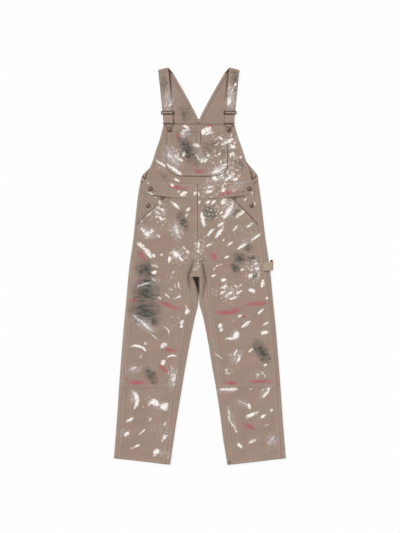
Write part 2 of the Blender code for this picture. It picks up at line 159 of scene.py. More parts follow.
# Brush marks on the pattern: lean is anticlockwise from across the garment, in degrees,
# load is how much paint the mark holds, and bend bows it sideways by that many millimetres
Mark = namedtuple("Mark", "x h length width lean load bend", defaults=(0,))
WHITE_FRONT = table(
    Mark,
    (-54, 1319, 22, 11, 160, .95), (-50, 1306, 18, 10, 30, .9), (-66, 1295, 26, 14, 60, .6),
    (27, 1303, 36, 24, 25, 1), (46, 1297, 14, 9, 0, .7), (80, 1274, 18, 9, 150, .85),
    (98, 1256, 26, 12, 30, .85), (118, 1266, 24, 13, 20, .9), (66, 1250, 18, 7, 20, .75),
    (122, 1286, 22, 9, 80, .5), (137, 1256, 10, 9, 60, .7), (130, 1240, 24, 15, 160, .85),
    (127, 1211, 18, 13, 20, 1), (159, 1201, 12, 8, 150, .8), (32, 1208, 12, 9, 60, .85),
    (77, 1213, 14, 7, 30, .75), (62, 1205, 8, 6, 0, .7), (-13, 1245, 24, 15, 150, .9),
    (-13, 1206, 12, 6, 135, .7), (-5, 1194, 12, 7, 120, .75), (8, 1184, 12, 10, 20, .95),
    (23, 1187, 14, 10, 20, .9), (-63, 1213, 16, 9, 60, .9), (-118, 1206, 22, 14, 135, .7),
    (-76, 1190, 20, 10, 170, .8), (-92, 1202, 20, 12, 135, .65), (-130, 1236, 18, 8, 110, .55),
    (-160, 1178, 26, 8, 135, .9), (-145, 1169, 24, 9, 135, 1), (-112, 1160, 40, 9, 140, .9),
    (-92, 1146, 44, 13, 143, 1), (-124, 1170, 14, 8, 130, .7), (62, 1143, 26, 12, 20, .85),
    (84, 1153, 36, 8, 33, .8), (95, 1168, 24, 9, 35, .95), (90, 1138, 24, 12, 20, .6),
    (58, 1118, 22, 15, 120, 1), (29, 1108, 28, 8, 85, .5), (130, 1127, 20, 11, 70, .7),
    (110, 1111, 24, 9, 25, .9), (139, 1105, 18, 10, 10, 1), (152, 1119, 16, 8, 30, .55),
    (-90, 1108, 20, 9, 155, 1), (-108, 1086, 15, 10, 165, 1), (-63, 1055, 24, 13, 25, 1),
    (-82, 1062, 12, 7, 30, .7), (-18, 1060, 15, 9, 60, .85), (-4, 1057, 13, 7, 85, .8),
    (40, 1083, 24, 8, 0, .9), (37, 1066, 24, 10, 5, .95), (93, 1067, 18, 12, 20, .85),
    (90, 1084, 18, 10, 80, .55), (135, 1066, 30, 11, 10, .5), (-203, 1080, 8, 7, 0, .6),
    (-190, 1041, 20, 8, 170, .85), (-171, 1030, 12, 6, 150, .5), (205, 1040, 10, 9, 30, .75),
    (178, 1021, 12, 6, 20, .75), (214, 1000, 14, 6, 80, .55), (-92, 1007, 28, 11, 142, 1),
    (-110, 1019, 14, 7, 140, .6), (-45, 995, 18, 11, 50, .95), (-155, 1013, 14, 11, 45, 1),
    (-163, 992, 15, 9, 160, .9), (-146, 987, 16, 9, 160, .9), (-164, 974, 16, 7, 170, .7),
    (-167, 961, 14, 8, 150, .75), (-151, 956, 18, 9, 150, .95), (-137, 957, 8, 6, 0, .7),
    (-196, 968, 34, 7, 42, .6), (-228, 943, 12, 8, 60, .6), (-221, 912, 22, 10, 140, .75),
    (-205, 901, 26, 14, 150, .85), (-190, 908, 18, 12, 40, .75), (-161, 893, 14, 12, 60, .7),
    (-97, 927, 22, 16, 100, .5), (-88, 908, 24, 14, 120, .65), (-80, 890, 16, 9, 140, .6),
    (-51, 972, 16, 9, 60, .6), (-1, 1025, 14, 8, 85, .85), (31, 1023, 18, 9, 45, .95),
    (53, 1023, 22, 9, 45, 1), (94, 1024, 22, 15, 45, 1), (118, 1018, 18, 8, 150, .5),
    (7, 976, 22, 10, 85, 1), (13, 957, 22, 13, 80, 1), (15, 940, 18, 12, 120, .95),
    (124, 1004, 20, 11, 55, .75), (114, 988, 28, 17, 50, 1), (102, 971, 24, 14, 40, .95),
    (149, 967, 20, 12, 40, .95), (165, 976, 20, 11, 45, .85), (81, 936, 20, 12, 30, 1),
    (77, 906, 46, 13, 55, 1), (40, 906, 30, 10, 50, 1), (56, 918, 8, 6, 0, .6), (140, 922, 26, 9, 45, .7),
    (196, 930, 30, 7, 30, .85), (218, 887, 40, 9, 35, .95), (165, 853, 34, 10, 35, .8),
    (117, 861, 22, 8, 35, .95), (37, 859, 26, 8, 35, .85), (-5, 858, 26, 8, 85, .9),
    (-4, 836, 12, 7, 80, .75), (93, 877, 10, 5, 30, .8), (-229, 856, 30, 14, 140, 1),
    (-202, 828, 40, 17, 130, 1), (-180, 815, 14, 10, 100, .95), (-93, 822, 28, 18, 140, 1),
    (-112, 826, 16, 7, 30, .6), (-118, 801, 20, 11, 80, 1), (-75, 804, 20, 9, 120, .9),
    (-149, 820, 10, 8, 45, .85), (-62, 847, 16, 8, 140, .85), (-49, 832, 20, 9, 120, .8),
    (-12, 768, 12, 6, 60, .6), (-178, 750, 18, 12, 5, 1), (-176, 776, 22, 9, 160, .9),
    (-208, 708, 64, 9, 20, .5), (-180, 724, 18, 8, 150, .6), (-128, 660, 22, 7, 130, .9),
    (-156, 650, 18, 6, 160, .7), (-83, 655, 18, 7, 30, .85), (-83, 702, 20, 6, 100, .8),
    (-104, 751, 10, 6, 45, .8), (-48, 598, 20, 14, 60, 1), (-53, 616, 16, 8, 100, .6),
    (-69, 557, 14, 12, 60, 1), (-71, 541, 14, 10, 60, 1), (-126, 524, 40, 7, 118, .7, -7),
    (-229, 560, 66, 12, 142, .5), (-210, 541, 50, 9, 142, .72), (-180, 502, 44, 4, 137, .65),
    (-243, 462, 44, 9, 170, 1, -5), (-217, 452, 18, 8, 130, .95), (-213, 473, 10, 8, 45, .7),
    (-229, 423, 14, 8, 80, .6), (-142, 465, 24, 16, 30, .95), (-110, 424, 34, 7, 8, .85, 4),
    (-143, 399, 18, 16, 60, .95), (-260, 376, 24, 12, 30, .65), (-108, 354, 18, 9, 70, .5),
    (-103, 334, 22, 13, 80, .55), (-100, 312, 16, 10, 80, .5), (-249, 256, 62, 14, 98, 1, -11),
    (-176, 244, 32, 20, 150, 1), (-198, 236, 14, 9, 30, .65), (-137, 228, 28, 24, 60, 1),
    (-220, 226, 10, 6, 120, .6), (-273, 171, 26, 10, 35, 1), (-194, 176, 20, 14, 45, .55),
    (-135, 158, 18, 12, 60, .55), (-285, 110, 22, 12, 40, 1), (-226, 121, 28, 6, 45, .75),
    (-138, 107, 20, 12, 50, .95), (-147, 92, 14, 12, 60, .5), (-247, 62, 26, 8, 35, .95),
    (-264, 51, 12, 7, 30, .6), (-170, 46, 22, 16, 45, 1), (-176, 29, 16, 7, 10, .55),
    (-124, 26, 8, 6, 0, .6), (105, 811, 18, 8, 25, .95), (56, 764, 12, 5, 40, .8),
    (68, 776, 12, 5, 30, .85), (83, 781, 12, 5, 10, .8), (54, 738, 16, 8, 25, .9), (93, 721, 20, 11, 15, 1),
    (97, 694, 20, 11, 15, 1), (90, 673, 24, 6, 40, .85), (105, 661, 20, 6, 40, .8),
    (119, 669, 18, 9, 35, .95), (131, 650, 28, 9, 20, 1), (153, 672, 26, 7, 35, .85),
    (158, 700, 10, 6, 30, .7), (165, 762, 14, 8, 20, .9), (224, 765, 14, 9, 20, .95),
    (220, 784, 12, 8, 80, .85), (197, 737, 20, 13, 60, 1), (230, 738, 10, 7, 30, .7),
    (245, 707, 26, 12, 80, 1), (203, 680, 24, 14, 155, 1), (262, 650, 12, 8, 30, .9),
    (157, 581, 18, 8, 30, .85), (237, 598, 28, 8, 45, 1), (181, 549, 34, 10, 35, 1),
    (258, 552, 24, 7, 35, .85), (80, 543, 16, 12, 60, 1), (83, 528, 14, 11, 60, 1),
    (252, 516, 26, 14, 10, 1), (142, 506, 28, 17, 60, 1), (122, 493, 34, 9, 5, 1),
    (199, 448, 20, 8, 45, .8), (138, 436, 26, 7, 60, .9), (154, 414, 34, 8, 62, .85),
    (74, 424, 36, 4, 145, .7), (255, 389, 12, 9, 30, .95), (103, 368, 10, 7, 45, .7),
    (112, 356, 8, 6, 0, .6), (228, 351, 14, 7, 60, .7), (243, 357, 12, 7, 45, .7),
    (254, 346, 10, 6, 45, .6), (128, 295, 26, 11, 5, 1), (102, 295, 36, 8, 3, .85),
    (200, 296, 16, 5, 20, .7), (270, 296, 16, 8, 35, .8), (257, 275, 30, 8, 50, .85),
    (172, 240, 34, 4, 155, .65), (193, 228, 18, 11, 110, 1), (203, 194, 44, 12, 25, 1),
    (247, 187, 20, 10, 35, 1), (279, 212, 16, 8, 60, .85), (113, 205, 34, 7, 95, .7),
    (114, 178, 26, 6, 112, .75), (128, 155, 30, 6, 130, .75), (140, 132, 24, 6, 118, .7),
    (262, 149, 20, 6, 30, .5), (156, 72, 24, 11, 135, .95), (205, 85, 26, 11, 20, .95),
    (283, 90, 20, 8, 60, .65), (270, 77, 18, 8, 30, .6), (-112, 1416, 30, 9, 80, .6),
    (-114, 1404, 20, 5, 30, .8), (-134, 1401, 8, 6, 20, .8), (116, 1420, 36, 14, 80, .85),
    (124, 1458, 26, 12, 75, .45), (138, 1484, 10, 7, 60, .95), (114, 1474, 22, 7, 85, .45),
)
RED_FRONT = table(
    Mark,
    (38, 1321, 22, 13, 0, 1), (-87, 1282, 28, 11, 95, .7), (-2, 1144, 32, 15, 0, 1),
    (-97, 1080, 50, 14, 172, 1), (-62, 1074, 24, 6, 175, .7), (98, 1055, 52, 14, 12, 1),
    (-22, 983, 16, 8, 95, .5), (-22, 938, 14, 9, 60, .55), (-227, 816, 42, 17, 135, 1),
    (57, 812, 28, 20, 110, 1), (-261, 641, 30, 11, 10, .95), (-118, 621, 68, 14, 160, 1),
    (221, 629, 76, 15, 3, 1), (96, 594, 70, 17, 0, 1), (134, 600, 40, 19, 20, 1),
    (171, 579, 14, 13, 60, .95), (-114, 447, 44, 14, 170, 1), (-143, 376, 46, 13, 135, 1),
    (-246, 321, 50, 18, 5, .95), (-284, 334, 38, 12, 150, .6), (119, 320, 50, 15, 175, 1),
    (232, 325, 72, 12, 0, 1), (196, 145, 40, 18, 145, 1), (171, 806, 12, 8, 45, .75),
    (-240, 43, 40, 9, 10, .5), (74, 884, 22, 9, 0, .45),
)
# The faint smudge at (60, 1250) darkens the cloth across the top edge of the bib pocket's right part
DARK_FRONT = table(
    Mark,
    (-50, 1228, 94, 50, 115, .95), (-58, 1372, 64, 50, 120, .6), (-66, 948, 70, 34, 115, .85),
    (40, 983, 62, 52, 90, .8), (140, 981, 38, 32, 60, .6), (159, 1168, 44, 38, 120, .6),
    (-142, 1116, 52, 24, 140, .5), (60, 1250, 80, 40, 0, .45), (29, 1229, 56, 40, 100, .55),
    (88, 1222, 46, 38, 60, .5), (-10, 1180, 70, 40, 20, .4), (-211, 758, 66, 68, 90, .92),
    (-205, 716, 64, 22, 0, 1.1), (-211, 674, 86, 84, 0, 1.02), (-214, 604, 104, 86, 175, 1),
    (-208, 584, 74, 20, 172, 1.1), (-178, 560, 50, 44, 120, .75), (190, 846, 42, 32, 90, .7),
    (156, 806, 46, 38, 150, .95), (200, 804, 50, 26, 5, .8), (140, 768, 42, 30, 140, .95),
    (213, 738, 34, 34, 90, .65), (241, 440, 90, 42, 120, .95), (-191, 347, 66, 36, 125, .92),
    (-143, 1488, 70, 34, 95, .5), (137, 1505, 66, 24, 88, .7), (141, 1461, 34, 20, 80, .6),
    (116, 10, 12, 9, 70, .95), (325, 46, 9, 20, 90, .45), (-328, 5, 12, 9, 30, .45),
    (290, 30, 40, 6, 0, .35),
)
HAZE_FRONT = table(
    Mark,
    (-108, 1198, 84, 52, 120, .75), (-60, 1292, 46, 28, 50, .8), (4, 1200, 70, 44, 110, .5),
    (78, 1150, 90, 34, 30, .6), (116, 1255, 70, 44, 20, .45), (-206, 905, 66, 38, 150, .7),
    (-90, 914, 66, 46, 110, .6), (16, 965, 66, 34, 90, .5), (115, 990, 76, 54, 60, .6),
    (-222, 556, 92, 36, 142, .8), (106, 292, 72, 24, 3, .7), (140, 424, 66, 50, 60, .45),
    (280, 84, 46, 44, 60, .65), (-298, 118, 40, 34, 50, .45), (220, 768, 34, 56, 0, .5),
    (70, 1106, 110, 32, 8, .5), (150, 1080, 70, 34, 12, .5), (-257, 372, 56, 34, 20, .55),
    (-104, 334, 84, 34, 80, .5), (180, 868, 96, 30, 35, .5), (-203, 705, 84, 30, 15, .65),
    (120, 668, 84, 46, 30, .4), (-124, 1425, 96, 40, 84, .7), (124, 1440, 110, 40, 84, .75),
    (-165, 975, 70, 60, 40, .4), (-85, 820, 70, 44, 140, .4), (-256, 262, 34, 50, 10, .7),
    (-168, 236, 84, 34, 150, .5), (250, 280, 56, 26, 50, .5), (166, 238, 60, 24, 150, .45),
    (-137, 118, 40, 60, 100, .4), (-138, 44, 60, 34, 0, .4), (138, 504, 46, 34, 60, .55),
    (124, 180, 96, 28, 110, .4),
)


def strewn(seed, count, length, width, load):
    """Marks of the side that lies down, from ranges of their sizes; on both sides they fan outwards."""
    draw = np.random.default_rng(seed)
    marks = []
    for number in range(count):
        side = 1 if number % 2 else -1
        h = draw.uniform(60, 1240)
        x = CENTRE + side * draw.uniform(20 + max(700 - h, 0) * 0.16, 290 - h * 0.09)
        lean = 90 + side * draw.uniform(-75, -35)
        marks.append(Mark(x, h, draw.uniform(*length), draw.uniform(*width), lean, draw.uniform(*load)))
    return tuple(marks)


PAINTS = {      # of the front and of the back
    "white": (WHITE_FRONT, strewn(11, 64, (16, 46), (8, 17), (0.6, 1.0))),
    "red": (RED_FRONT, strewn(23, 9, (30, 62), (12, 17), (0.8, 1.0))),
    "dark": (DARK_FRONT, strewn(38, 8, (46, 90), (28, 50), (0.6, 0.95))),
    "haze": (HAZE_FRONT, strewn(45, 12, (70, 110), (34, 60), (0.4, 0.65))),
}

# Where spatter and small flicks of a nearly dry brush lie thickest
SPATTER = table(
    namedtuple("Spatter", "x h across up amount"),
    (100, 1150, 75, 95, 1), (-92, 1200, 42, 50, .8), (15, 1200, 55, 42, .7), (60, 1275, 75, 34, .6),
    (-60, 1290, 40, 28, .7), (-140, 1165, 40, 45, .6), (50, 1068, 120, 34, .8), (-100, 1085, 80, 40, .4),
    (-155, 970, 50, 60, .8), (-200, 900, 50, 36, .7), (-90, 915, 44, 46, .8), (-70, 1010, 55, 30, .5),
    (75, 985, 75, 55, .9), (150, 900, 90, 60, .6), (0, 850, 36, 75, .9), (-85, 815, 60, 40, .8),
    (112, 680, 75, 50, .85), (205, 760, 45, 70, .9), (-95, 690, 55, 85, .66), (-110, 560, 60, 55, .6),
    (-215, 550, 55, 34, .6), (150, 560, 90, 60, .5), (-190, 465, 60, 40, .5), (-104, 345, 30, 50, .9),
    (140, 425, 45, 45, .7), (105, 365, 35, 26, .7), (240, 352, 34, 22, .8), (130, 296, 50, 14, .8),
    (250, 285, 34, 24, .6), (-190, 236, 60, 26, .5), (-140, 130, 44, 44, .6), (124, 175, 30, 50, .5),
    (230, 185, 45, 40, .5), (-5, 765, 24, 30, .9), (-120, 1430, 26, 60, .6), (126, 1450, 26, 60, .7),
)


# Curves through the tables

def smooth(t):
    t = np.clip(t, 0.0, 1.0)
    return t * t * (3.0 - 2.0 * t)


def mix(a, b, t):
    return a + (b - a) * t


def bell(distance, width):
    return np.exp(-(distance / width) ** 2)


def between(start, end, slope_start, slope_end, span, t):
    """A smooth curve from one value and slope to the next."""
    return (start * (1 + 2 * t) * (1 - t) ** 2 + end * t * t * (3 - 2 * t)
            + span * (slope_start * t * (1 - t) ** 2 - slope_end * t * t * (1 - t)))


def read(rows, height, column):
    """Reads a column of a table at a height, on a smooth curve through its rows."""
    heights = np.array([row.height for row in rows], float)
    values = np.array([getattr(row, column) for row in rows], float)
    slopes = np.diff(values) / np.diff(heights)
    before, after = slopes[:-1], slopes[1:]
    same_way = before * after > 0
    bends = np.where(same_way, 2 * before * after / np.where(same_way, before + after, 1), 0.0)
    tangents = np.concatenate([slopes[:1], bends, slopes[-1:]])
    h = np.clip(height, heights[0], heights[-1])
    i = np.clip(np.searchsorted(heights, h, side="right") - 1, 0, len(slopes) - 1)
    span = heights[i + 1] - heights[i]
    return between(values[i], values[i + 1], tangents[i], tangents[i + 1], span, (h - heights[i]) / span)


def of_side(column, side):
    return column + ("_left" if side < 0 else "_right")


def fold_x(side, h):
    return side * read(SILHOUETTE, h, of_side("half", side))


def side_seam(side, h):
    return fold_x(side, h) - side * read(SILHOUETTE, h, of_side("lip", side))


def inner_edge(side, h):
    return read(INSIDE_LEG, h, of_side("edge", side))


def inseam(side, h):
    return read(INSIDE_LEG, h, of_side("seam", side))


def edge_of(rows, side, h):
    return read(rows, h, "left" if side < 0 else "right")


def pocket_mouth(side, h):
    """The slanted edge of the hip pocket."""
    top, bottom = (128, 243) if side < 0 else (119, 224)
    return side * mix(bottom, top, np.clip((h - MOUTH_FOOT) / (WAIST - MOUTH_FOOT), 0, 1))


def true_height(x, h):
    """Adds the slant of the hems and the curve of the waist to a row's height."""
    hem = HEM_RISE * np.clip((np.abs(x) - 111) / 224, 0, 1) * np.clip(1 - h / 220, 0, 1)
    waist = WAIST_RISE * (x / 230) ** 2
    return h + hem + waist * smooth((h - 880) / (WAIST - 880)) * (1 - smooth((h - WAIST_TOP) / 110))


def from_side(x, h):
    """Distance in from the side seam."""
    left = x - side_seam(-1, h)
    right = side_seam(1, h) - x
    return np.where(x < CENTRE, left, right)


def from_leg(x, h):
    """Distance from the inseam, and above the crotch from its lower edge."""
    beyond = np.where(x < CENTRE, inseam(-1, h) - x, x - inseam(1, h))
    return np.hypot(np.maximum(beyond, 0), np.maximum(h - CROTCH, 0))


def front_z(x, h):
    """Underside of the front layer before it creases."""
    low = smooth(np.minimum(from_side(x, h), from_leg(x, h)) / EASE)
    over_bib = 1 - smooth((h - WAIST_TOP) / 85)
    return CLOTH + mix(LAY, FOLD - 2 * CLOTH, (1 - low) * over_bib)


BUTTON_H = 1308.0
BUTTON_REACH = 115.6     # a bib button's distance from the centre
HIP_BUTTONS = ((193, 1060), (202, 996))     # across and up, on both sides
FASTENERS = tuple(
    (side * out, up) for side in (-1, 1) for out, up in ((BUTTON_REACH - side * 4, BUTTON_H), *HIP_BUTTONS)
)


def ripple(x, h):
    """Slow, seeded swells of cloth that has been worn and washed."""
    draw = np.random.default_rng(RIPPLE_SEED)
    total = np.zeros(np.broadcast(x, h).shape)
    for wavelength in (190, 150, 120, 95, 74, 60, 48, 38):
        way = draw.uniform(0, math.tau)
        phase = draw.uniform(0, math.tau)
        along = x * math.cos(way) + h * math.sin(way)
        total += 0.0035 * wavelength * np.sin(math.tau * along / wavelength + phase)
    return total


def drape(x, h):
    """How far the front layers are lifted by creases and swells."""
    lift = ripple(x, h)
    for crease in CREASES:
        dx, dh = crease.x1 - crease.x0, crease.h1 - crease.h0
        length = math.hypot(dx, dh)
        along = ((x - crease.x0) * dx + (h - crease.h0) * dh) / length
        away = ((x - crease.x0) * dh - (h - crease.h0) * dx) / length
        away = away + 0.06 * length * np.sin(math.pi * along / length)
        ends = smooth(along / (0.35 * length)) * smooth((length - along) / (0.45 * length))
        lift += crease.height * ends * bell(away, crease.width)
    seams = smooth(np.minimum(from_side(x, h), from_leg(x, h)) / 30) * (1 - smooth((h - 1080) / 60))
    lift = lift * np.maximum(seams, 0.7 * smooth((h - 1080) / 60))
    for place_x, place_h in FASTENERS:
        lift = lift * (1 - np.exp(-((x - place_x) ** 2 + (h - place_h) ** 2) / 22 ** 2))
    return np.maximum(lift, LOWEST_DIP) - 1.5 * crotch_pull(x, h)


def front_under(x, h):
    return front_z(x, h) + drape(x, h)


# Grids

NEAR = (0.0, 0.5, 1.2, 1.9, 2.8, 4.6, 7.0, 8.6, 9.3, 10.2, 11.4, 13.0, 16.0)
PLAIN = (0.0,)
SEAM_BAND = 11.0


def stations(start, end, pitch, near_start=NEAR, near_end=NEAR):
    """Heights of rows, close together beside a seam at either end."""
    return across(np.array([start]), np.array([end]), pitch, near_start, near_end)[0]


def across(left, right, pitch, near_left=NEAR, near_right=NEAR):
    """x of each column in each row, close together beside a seam at either edge."""
    a = left[:, None] + np.array(near_left)
    b = right[:, None] - np.array(near_right[::-1])
    count = max(int(round(np.max(b[:, 0] - a[:, -1]) / pitch)), 1)
    t = np.linspace(0, 1, count + 1)[1:-1]
    return np.concatenate([a, a[:, -1:] + (b[:, :1] - a[:, -1:]) * t, b], axis=1)


def join_rows(*parts):
    return np.unique(np.round(np.concatenate(parts), 4))


def all_cells(x):
    """The cells of a grid of points, all of them cloth."""
    return np.ones((x.shape[0] - 1, x.shape[1] - 1), bool)


def felled(distance, along, width=SEAM_BAND, up=0.5):
    """Extra thickness of an edge that is turned in and sewn with two rows."""
    step = 1 - smooth((distance - width + 0.8) / 2.0)
    rows = bell(distance - 1.9, 0.7) + bell(distance - width + 1.8, 0.7)
    lip = -0.4 * bell(distance, 0.8)
    pucker = np.sin(math.tau * along / 15.0 + 2.2 * np.sin(along / 41.0))
    pucker = pucker * (0.7 + 0.3 * np.sin(along / 23.0))
    return up * step - 0.28 * rows + lip + 0.22 * pucker * bell(distance - 0.6 * width, width)


def unit(vectors):
    size = np.linalg.norm(vectors, axis=-1, keepdims=True)
    return vectors / np.where(size > 0, size, 1)


def corner_normals(points, cells):
    """Unit normals of the grid's points, from the cells that exist."""
    a, b = points[:-1, :-1], points[:-1, 1:]
    c, d = points[1:, 1:], points[1:, :-1]
    faces = np.cross(c - a, d - b) * cells[..., None]
    total = np.zeros_like(points)
    for corner in (np.s_[:-1, :-1], np.s_[:-1, 1:], np.s_[1:, 1:], np.s_[1:, :-1]):
        total[corner] += faces
    return unit(total)


def outward(points, normals, edges):
    """For each point on the rim, the way out of the cloth in its own surface."""
    total = np.zeros_like(points)
    along = points[edges[:, 1]] - points[edges[:, 0]]
    out = unit(np.cross(along, normals[edges[:, 0]]))
    for end in (0, 1):
        np.add.at(total, edges[:, end], out)
    return unit(total)


def make_cloth(name, node, cut, rests_on, x, h, z, over, under, cells=None, area=None,
               slot="canvas", nudge=0.0, turn=False, upper=1, lower=0, both=False, **shown):
    """Makes a wall of cloth on a grid of the pattern and ties it to the frame.

    cut is the flat width and length of what shows. over and under are how far its two faces lie
    from the grid, along its normals. nudge moves points up the garment, and turn swaps the side
    that is out. upper and lower say which paint each face carries: 0 for none, 1 for the front's
    and 2 for the back's. worn is on both faces. shade is painted shade on the upper one, as is the
    darkening of dirt and painted shade along edges and seams. With both, that darkening is on the
    lower one too, whose own painted shade is under_shade. painted_h, where it is given, is the
    height at which marks are read.
    """
    shape = np.broadcast(x, h, z).shape
    grid = {
        "x": x, "h": h, "z": z, "up": true_height(x, h) + nudge, "over": over, "under": under,
        "upper": upper, "lower": lower, "worn": 0, "shade": 0, "under_shade": 0, "soil": 0,
        "painted_h": h, **shown,
    }
    step = -1 if turn else 1
    grid = {key: np.broadcast_to(value, shape)[:, ::step].astype(float) for key, value in grid.items()}
    cells = all_cells(grid["x"]) if cells is None else cells[:, ::step]
    area = visible_area(grid["x"], grid["up"], cells) if area is None else area
    points = np.stack([grid["x"], grid["up"] - LENGTH / 2, grid["z"]], axis=2)
    normals = corner_normals(points, cells).reshape(-1, 3)
    index = np.arange(shape[0] * shape[1]).reshape(shape)
    quads = np.stack([index[:-1, :-1], index[:-1, 1:], index[1:, 1:], index[1:, :-1]], axis=2)[cells]
    used = np.unique(quads)
    count = len(used)
    renumber = np.full(index.size, -1)
    renumber[used] = np.arange(count)
    quads = renumber[quads]
    points, normals = points.reshape(-1, 3)[used], normals[used]
    sides = np.concatenate([quads[:, [k, (k + 1) % 4]] for k in range(4)])
    rim = sides[~np.isin(sides[:, 0] * count + sides[:, 1], sides[:, 1] * count + sides[:, 0])]
    edge_points = np.unique(rim)
    over, under = (grid[key].reshape(-1)[used] for key in ("over", "under"))
    top = points + normals * over[:, None]
    bottom = points + normals * under[:, None]
    middle = (top + bottom) / 2 + outward(points, normals, rim) * (np.abs(over - under) * 0.4)[:, None]
    number = np.full(count, -1)
    number[edge_points] = 2 * count + np.arange(len(edge_points))
    a, b = rim[:, 0], rim[:, 1]
    faces = np.concatenate([quads, quads[:, ::-1] + count, np.stack([b, a, number[a], number[b]], axis=1),
                            np.stack([number[b], number[a], a + count, b + count], axis=1)])
    vertices = np.concatenate([top, bottom, middle[edge_points]])
    mesh = bpy.data.meshes.new(name)
    mesh.from_pydata((vertices * MM).tolist(), [], faces.tolist())
    # Distances across the cut run from its middle column
    steps = np.linalg.norm(np.diff(np.stack([grid["x"], grid["z"]], axis=2), axis=1), axis=2)
    run = np.concatenate([np.zeros((shape[0], 1)), np.cumsum(steps, axis=1)], axis=1)
    centre = shape[1] // 2
    grid["run"] = run - run[:, centre][:, None] + grid["x"][:, centre].mean()
    origin = used[np.concatenate([np.arange(count), np.arange(count), edge_points])]
    on_top = np.concatenate([np.ones(count, bool), np.zeros(count, bool), np.ones(len(edge_points), bool)])
    given = {key: value.reshape(-1)[origin] for key, value in grid.items()}
    add_cut_map(mesh, given["run"], given["up"])
    coat = np.where(on_top, given["upper"], given["lower"]).astype(int)
    add_paint(mesh, given["x"], given["painted_h"], coat)
    add_values(mesh, "worn", given["worn"])
    add_values(mesh, "shade", np.where(on_top, given["shade"], given["under_shade"]))
    add_values(mesh, "soil", np.where(on_top | both, given["soil"], 0.0))
    mesh.shade_smooth()
    mesh.materials.append(bpy.data.materials[FINISHES[slot]])
    cloth = bpy.data.objects.new(name, mesh)
    cloth_collection().objects.link(cloth)
    settle(cloth, slot, node)


def visible_area(x, h, cells):
    """Area of a grid on the flat pattern, in square millimetres."""
    dx, dh = ((value[1:, 1:] - value[:-1, :-1], value[1:, :-1] - value[:-1, 1:]) for value in (x, h))
    return float(np.abs((dx[0] * dh[1] - dx[1] * dh[0])[cells]).sum() / 2)


def folded_area(run, rise, cells):
    """Area of a grid that folds, from the lengths of its cells' edges across and up it."""
    return float((((run[1:] + run[:-1]) / 2) * ((rise[:, 1:] + rise[:, :-1]) / 2))[cells].sum())


def settle(piece, slot, *nodes):
    """Ties a finished piece to the frame."""
    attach(piece, "root")
    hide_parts(*nodes)


def add_object(name, data):
    made = bpy.data.objects.new(name, data)
    bpy.context.scene.collection.objects.link(made)
    return made


def plain_mesh(thing, name):
    """The mesh of a curve or of an object with a modifier; the thing itself is removed."""
    bpy.context.view_layer.update()
    mesh = bpy.data.meshes.new_from_object(thing.evaluated_get(bpy.context.evaluated_depsgraph_get()))
    bpy.data.objects.remove(thing)
    mesh.name = name
    return mesh


def cloth_collection():
    found = bpy.data.collections.get("cloth")
    if found is None:
        found = bpy.data.collections.new("cloth")
        bpy.context.scene.collection.children.link(found)
    return found


def add_cut_map(mesh, u, v):
    """The UV map: metres across and along the cut, which the weave follows."""
    corners = np.empty(len(mesh.loops), int)
    mesh.loops.foreach_get("vertex_index", corners)
    layer = mesh.uv_layers.new(name="cut")
    layer.data.foreach_set("uv", (np.stack([u, v], axis=1)[corners] * MM).ravel())


def add_values(mesh, name, values):
    attribute = mesh.attributes.new(name, "FLOAT", "POINT")
    attribute.data.foreach_set("value", np.ascontiguousarray(values, dtype=float))


# Paint

REACH = 1.5              # a mark's paint ends within this many half sizes
SUPPORT = 3.5            # mm past that where paint may still be drawn between two points
HALO = 10.0              # mm past that where the mark's coordinates are kept
CELL = 3.0
MOST_LAYERS = 12         # more than these would not fit in one shader


def mark_place(mark, x, h):
    """Coordinates in a mark: 1 at the end of its length and at the edge of its width."""
    turn = math.radians(mark.lean)
    dx, dh = x - mark.x, h - mark.h
    along = dx * math.cos(turn) + dh * math.sin(turn)
    beside = dh * math.cos(turn) - dx * math.sin(turn)
    u = along / (mark.length / 2)
    beside = beside + mark.bend * (u * u - 0.4)
    return u, beside / (mark.width / 2)


def spread(mark):
    """How far from its middle a mark's coordinates are kept."""
    return max(mark.length, mark.width) / 2 * REACH + HALO + abs(mark.bend)


def in_reach(mark, u, v, margin=0.0):
    grown_u = REACH + margin / (mark.length / 2)
    grown_v = REACH + margin / (mark.width / 2)
    return (u / grown_u) ** 2 + (v / grown_v) ** 2 < 1


def layered(marks):
    """Shares marks out over layers in which none comes near another. What fits in no layer,
    where flicks lie thickest, is left out."""
    x, h = np.meshgrid(np.arange(-400, 401, CELL), np.arange(-60, 1611, CELL))
    layers, taken = [], []
    for mark in marks:
        column, row = int((mark.x + 400) / CELL), int((mark.h + 60) / CELL)
        half = int(spread(mark) / CELL) + 1
        window = (slice(max(row - half, 0), row + half), slice(max(column - half, 0), column + half))
        cover = in_reach(mark, *mark_place(mark, x[window], h[window]), HALO)
        number = next((k for k, full in enumerate(taken) if not (cover & full[window]).any()), len(layers))
        if number == MOST_LAYERS:
            continue
        if number == len(layers):
            layers.append([])
            taken.append(np.zeros(x.shape, bool))
        layers[number].append(mark)
        taken[number][window] |= cover
    return layers


PAINT_LAYERS = {
    paint: tuple(layered(marks) for marks in tables) for paint, tables in PAINTS.items()
}


def layer_names(paint):
    return [f"{paint}_{k}" for k in range(max(len(side) for side in PAINT_LAYERS[paint]))]


